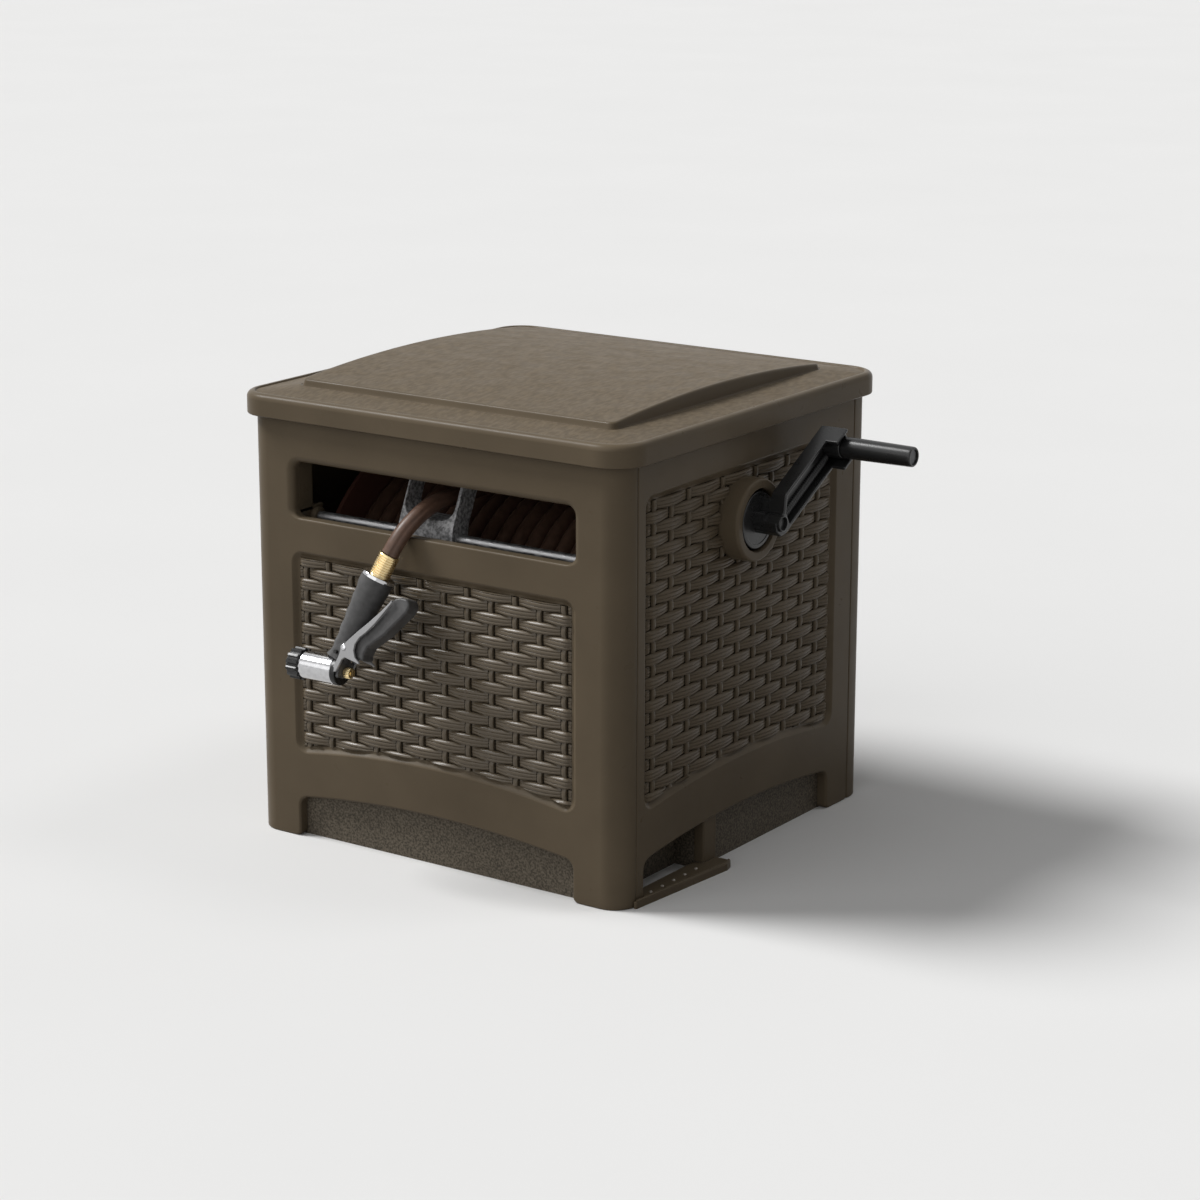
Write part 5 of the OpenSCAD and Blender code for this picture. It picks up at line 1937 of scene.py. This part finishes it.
@dataclass
class Nozzle:
    """The trigger nozzle that hangs on the hose."""

    at: Point = (-81.492, -315.253, 227.861)
    tilt: float = -19.068
    lean: float = 18.97
    rivet_x: float = 19.1
    rivet_z: float = 26.3
    guard_ribs: int = 14

    # Outlines along the barrel and up the nozzle, with the rounding of each corner
    PLATE = (
        (24.3, 35.9, 2.0), (20.4, 31.3, 0.0), (15.7, 25.8, 3.0), (14.9, 16.9, 0.0), (12.6, 9.4, 0.0),
        (10.1, 3.4, 1.5), (11.4, -2.0, 1.0), (15.1, -0.6, 1.0), (19.8, 12.9, 2.0), (23.2, 15.8, 2.0),
        (31.6, 14.0, 0.0), (38.0, 12.7, 0.0), (46.5, 10.6, 0.8), (36.9, 17.3, 2.0), (33.1, 24.6, 3.0),
        (33.3, 31.8, 2.0), (37.5, 39.6, 0.0), (44.8, 46.3, 0.0), (54.0, 57.0, 0.0), (64.0, 71.5, 0.0),
        (74.6, 87.3, 1.2), (70.6, 84.6, 1.2), (58.0, 70.0, 0.0), (46.0, 57.5, 0.0), (34.0, 46.0, 0.0),
    )
    PADDLE = (
        (70.1, 87.4, 4.0), (77.5, 89.7, 4.0), (86.5, 89.0, 5.0), (90.9, 82.6, 5.0), (88.0, 74.3, 5.0),
        (76.5, 60.7, 0.0), (65.0, 47.0, 0.0), (53.4, 37.2, 0.0), (46.0, 30.5, 4.0), (43.1, 22.1, 4.0),
        (44.0, 15.6, 2.0), (38.5, 15.6, 2.0), (31.5, 20.2, 4.0), (28.7, 27.7, 4.0), (31.7, 36.1, 3.0),
        (40.4, 45.5, 0.0), (48.4, 53.9, 0.0), (59.3, 70.6, 0.0),
    )

    def local(self, x: float, y: float, z: float) -> np.ndarray:
        """Turns a point in the nozzle's own frame into the shared one.

        Args:
            x: Along the barrel.
            y: Across.
            z: Up the nozzle.

        Returns:
            The point.
        """
        t = math.radians(self.tilt)
        return np.array(self.at) + np.array(
            [x, y * math.cos(t) - z * math.sin(t), y * math.sin(t) + z * math.cos(t)]
        )

    def axes(self, x: float, z: float, along: tuple[float, float]) -> Axes:
        """Gives axes in the nozzle's plane.

        Args:
            x: Start along the barrel.
            z: Start up the nozzle.
            along: Direction in the nozzle's plane.

        Returns:
            The axes, their side across the nozzle.
        """
        origin = self.local(x, 0.0, z)
        ahead = self.local(x + along[0], 0.0, z + along[1]) - origin
        across = self.local(x, 1.0, z) - origin
        return Axes.of(tuple(origin), tuple(ahead), tuple(across))

    def grip_axes(self) -> Axes:
        """Gives the grip's axis.

        Returns:
            The axes, from the barrel up to the hose.
        """
        t = math.radians(self.lean)
        return self.axes(0.0, 0.0, (math.sin(t), math.cos(t)))

    def fittings(self) -> list[bpy.types.Object]:
        """Builds the brass coupling and the plated collar.

        Returns:
            The pieces.
        """
        axes = self.grip_axes()
        draft = Draft()
        profile = [(114.5, 0.0), (114.5, 10.6), (115.4, 11.4)]
        for i in range(8):
            s = 116.4 + i * 2.7
            profile += [(s, 11.5), (s + 1.2, 11.5), (s + 1.55, 10.7), (s + 2.2, 10.7), (s + 2.5, 11.5)]
        profile += [(139.0, 11.3), (139.8, 10.6), (139.8, 9.4), (139.0, 9.3)]
        draft.turn(profile, axes, 56)
        coupling = draft.piece("coupling", Body.GUIDE, [BRASS], ["hose_coupling"])
        ring = Draft()
        profile = [(110.4, 16.2), (110.4, 18.3), (111.0, 18.8), (113.4, 18.8)]
        profile += [(114.6, 18.2), (115.3, 16.8), (115.7, 9.0)]
        ring.turn(profile, axes, 64)
        collar = ring.piece("collar", Body.GUIDE, [CHROME], ["nozzle_collar"])
        return [coupling, collar]

    def grip(self) -> None:
        """Builds the tapered rubber grip with its finger bumps."""
        axes = self.grip_axes()
        draft = Draft()
        rings = []
        for s in np.linspace(14.0, 110.5, 58):
            base = 9.5 + 9.0 * s / 107.0
            flare = 6.0 * max(0.0, (26.0 - s) / 14.0) ** 2
            bump = 0.7 * math.cos(2 * math.pi * (s - 30.0) / 18.0) if s > 26 else 0.0
            ring = []
            for t in np.linspace(0, 2 * math.pi, 48, endpoint=False):
                away = max(0.0, math.sin(t)) ** 2
                r = base + flare * abs(math.sin(t)) + bump * away
                ring.append(axes.at(s, r * math.cos(t), r * math.sin(t)))
            rings.append(ring)
        draft.loft(rings, True, (True, True))
        draft.piece("rubber_grip", Body.GUIDE, [GRIP], ["nozzle_grip"])

    def barrel(self) -> None:
        """Builds the plated barrel with its black end and the ribbed guard ring."""
        axes = self.axes(0.0, 0.0, (1.0, 0.0))
        draft = Draft()
        tube = [(-51.0, 6.0), (-51.0, 13.4), (-38.6, 13.5), (-38.0, 14.6)]
        tube += [(-36.8, 15.3), (-35.0, 15.5), (4.6, 15.5), (6.0, 14.6)]
        draft.turn(tube, axes, 64)
        draft.mark = 1
        cap = [(5.8, 14.0), (6.4, 15.0), (7.2, 15.4), (11.4, 15.4)]
        cap += [(12.6, 14.8), (13.0, 13.6), (13.0, 5.0), (12.0, 2.6)]
        draft.turn(cap, axes, 64)
        draft.piece("barrel", Body.GUIDE, [CHROME, BLACK], ["nozzle_barrel"])
        ring = Draft()
        profile = [(-52.0, 13.6), (-53.0, 14.4), (-53.0, 15.6), (-52.2, 16.2), (-40.0, 16.2), (-38.4, 15.9)]
        profile += [(-38.0, 15.2), (-38.0, 13.6)]
        sides = 168
        rows = []
        for a, r in profile:
            row = []
            for k in range(sides):
                t = 2 * math.pi * k / sides
                wave = min(1.0, max(0.0, 0.5 + 1.6 * math.cos(self.guard_ribs * t)))
                rib = 1.5 * wave if r > 15.8 else 0.0
                row.append(axes.at(a, (r + rib) * math.cos(t), (r + rib) * math.sin(t)))
            rows.append(row)
        ring.loft([*rows, rows[0]])
        ring.piece("guard", Body.GUIDE, [BLACK], ["barrel_guard"])

    def plate(self, draft: Draft, loop: np.ndarray, middle: float, half: float, edge: float) -> None:
        """Draws a plate in the nozzle's plane, rounded on both faces.

        Args:
            draft: Draft to add to.
            loop: Outline along the barrel and up the nozzle.
            middle: Middle of the plate, across the nozzle.
            half: Half thickness.
            edge: Rounding radius.
        """
        section = fillet(edge, 4)
        rows = [(inset, -half + depth) for inset, depth in section]
        rows += [(inset, half - depth) for inset, depth in section[::-1]]
        rings = [[self.local(u, middle + y, v) for u, v in inset_loop(loop, inset)] for inset, y in rows]
        draft.loft(rings)
        for y in (middle - half, middle + half):
            draft.flat(inset_loop(loop, edge), [], lambda u, v, d, y=y: self.local(u, y, v), 0.0)

    def trigger(self) -> None:
        """Builds the trigger: two plates with a rivet, the fork behind the nut and the rubber paddle."""
        draft = Draft()
        loop = rounded_loop(self.PLATE, 4, 40.0)
        for middle in (-13.5, 13.5):
            self.plate(draft, loop, middle, 1.5, 0.7)
        draft.mark = 1
        corners = [(6.4, 14.6, 3.0), (22.0, 13.0, 2.0), (26.0, 30.0, 3.0)]
        corners += [(18.0, 33.0, 3.0), (6.4, 26.0, 4.0)]
        ear = rounded_loop(corners, 4, 40.0)
        for middle in (-11.6, 11.6):
            self.plate(draft, ear, middle, 0.5, 0.3)
        self.plate(draft, rounded_loop(self.PADDLE, 5, 40.0), 0.0, 10.0, 2.6)
        fork = rounded_loop(rectangle(-12.4, -7.0, 12.4, 11.0, 2.0), 4, 30.0)
        turns = np.linspace(0, 2 * math.pi, 32, endpoint=False)
        hole = Cut(np.stack([4.6 * np.cos(turns), 4.6 * np.sin(turns)], axis=1), fillet(0.4, 2))
        draft.slab(fork, fillet(0.5, 2), lambda u, v, d: self.local(17.0 - d, u, v), 3.0, [hole])
        draft.mark = 2
        for y in (-14.6, 14.6):
            head = self.local(self.rivet_x, y, self.rivet_z)
            out = head - self.local(self.rivet_x, 0.0, self.rivet_z)
            rivet = Axes.of(tuple(head), tuple(out), (1, 0, 0))
            draft.turn([(0.0, 3.4), (0.9, 3.3), (1.5, 2.5), (1.7, 0.3)], rivet, 24)
        draft.piece("trigger", Body.TRIGGER, [TRIGGER, GRIP, CHROME], ["trigger_lever"])

    def nut(self) -> None:
        """Builds the knurled flow nut."""
        axes = self.axes(0.0, 0.0, (1.0, 0.0))
        draft = Draft()
        profile = [(17.3, 2.6), (17.3, 5.4), (17.8, 5.8), (24.6, 5.8), (25.3, 5.3), (25.3, 2.6)]
        draft.turn(profile, axes, 96, 24, 0.3)
        draft.piece("knurled_nut", Body.NUT, [BRASS], ["flow_nut"])


# Nodes that keep their own shape

KEPT: dict[Finish, tuple[str, ...]] = {
    KICK: ("base_tray",),
    REEL: ("reel_drum", "left_flange", "right_flange"),
    BLACK: (
        "crank_bush",
        "crank_shaft",
        "reel_bearing",
        "reel_gear",
        "crank_gear",
        "guide_bushes",
        "trigger_pin",
    ),
    STEEL: ("panel_screws", "hinge_pins", "flange_screws", "reel_axle", "valve_spring"),
    DARK_STEEL: ("grip_pin",),
    BRASS: ("inlet_spigot", "inlet_nut", "outlet_elbow", "valve_stem"),
    SEAL: ("inlet_washer", "spigot_seals"),
}


def dress_kept() -> None:
    """Gives the kept nodes their finishes."""
    for finish, nodes in KEPT.items():
        for name in nodes:
            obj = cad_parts[name]
            obj.data.materials.clear()
            obj.data.materials.append(finish.material())
            LOG.info("%s keeps its shape", name)


def save_size(key: str, made: dict[str, list[list[float]]]) -> None:
    """Notes the box that shows now.

    Args:
        key: Name of the box.
        made: Boxes noted so far.
    """
    low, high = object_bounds()
    made[key] = [list(low), list(high)]


def main() -> None:
    """Builds the scene in order."""
    logging.basicConfig(level=logging.INFO, format="%(message)s")
    sizes: dict[str, list[list[float]]] = {}
    save_size("cad", sizes)
    stage = Stage()
    stage.camera()
    nozzle = Nozzle()
    hose = Hose()
    hose.lead(nozzle.fittings())
    hose.layers()
    nozzle.grip()
    nozzle.barrel()
    Case().build()
    Lid().build()
    Crank().build()
    Guide().build()
    nozzle.trigger()
    nozzle.nut()
    dress_kept()
    stage.build()
    save_size("visual", sizes)


if __name__ == "__main__":
    main()
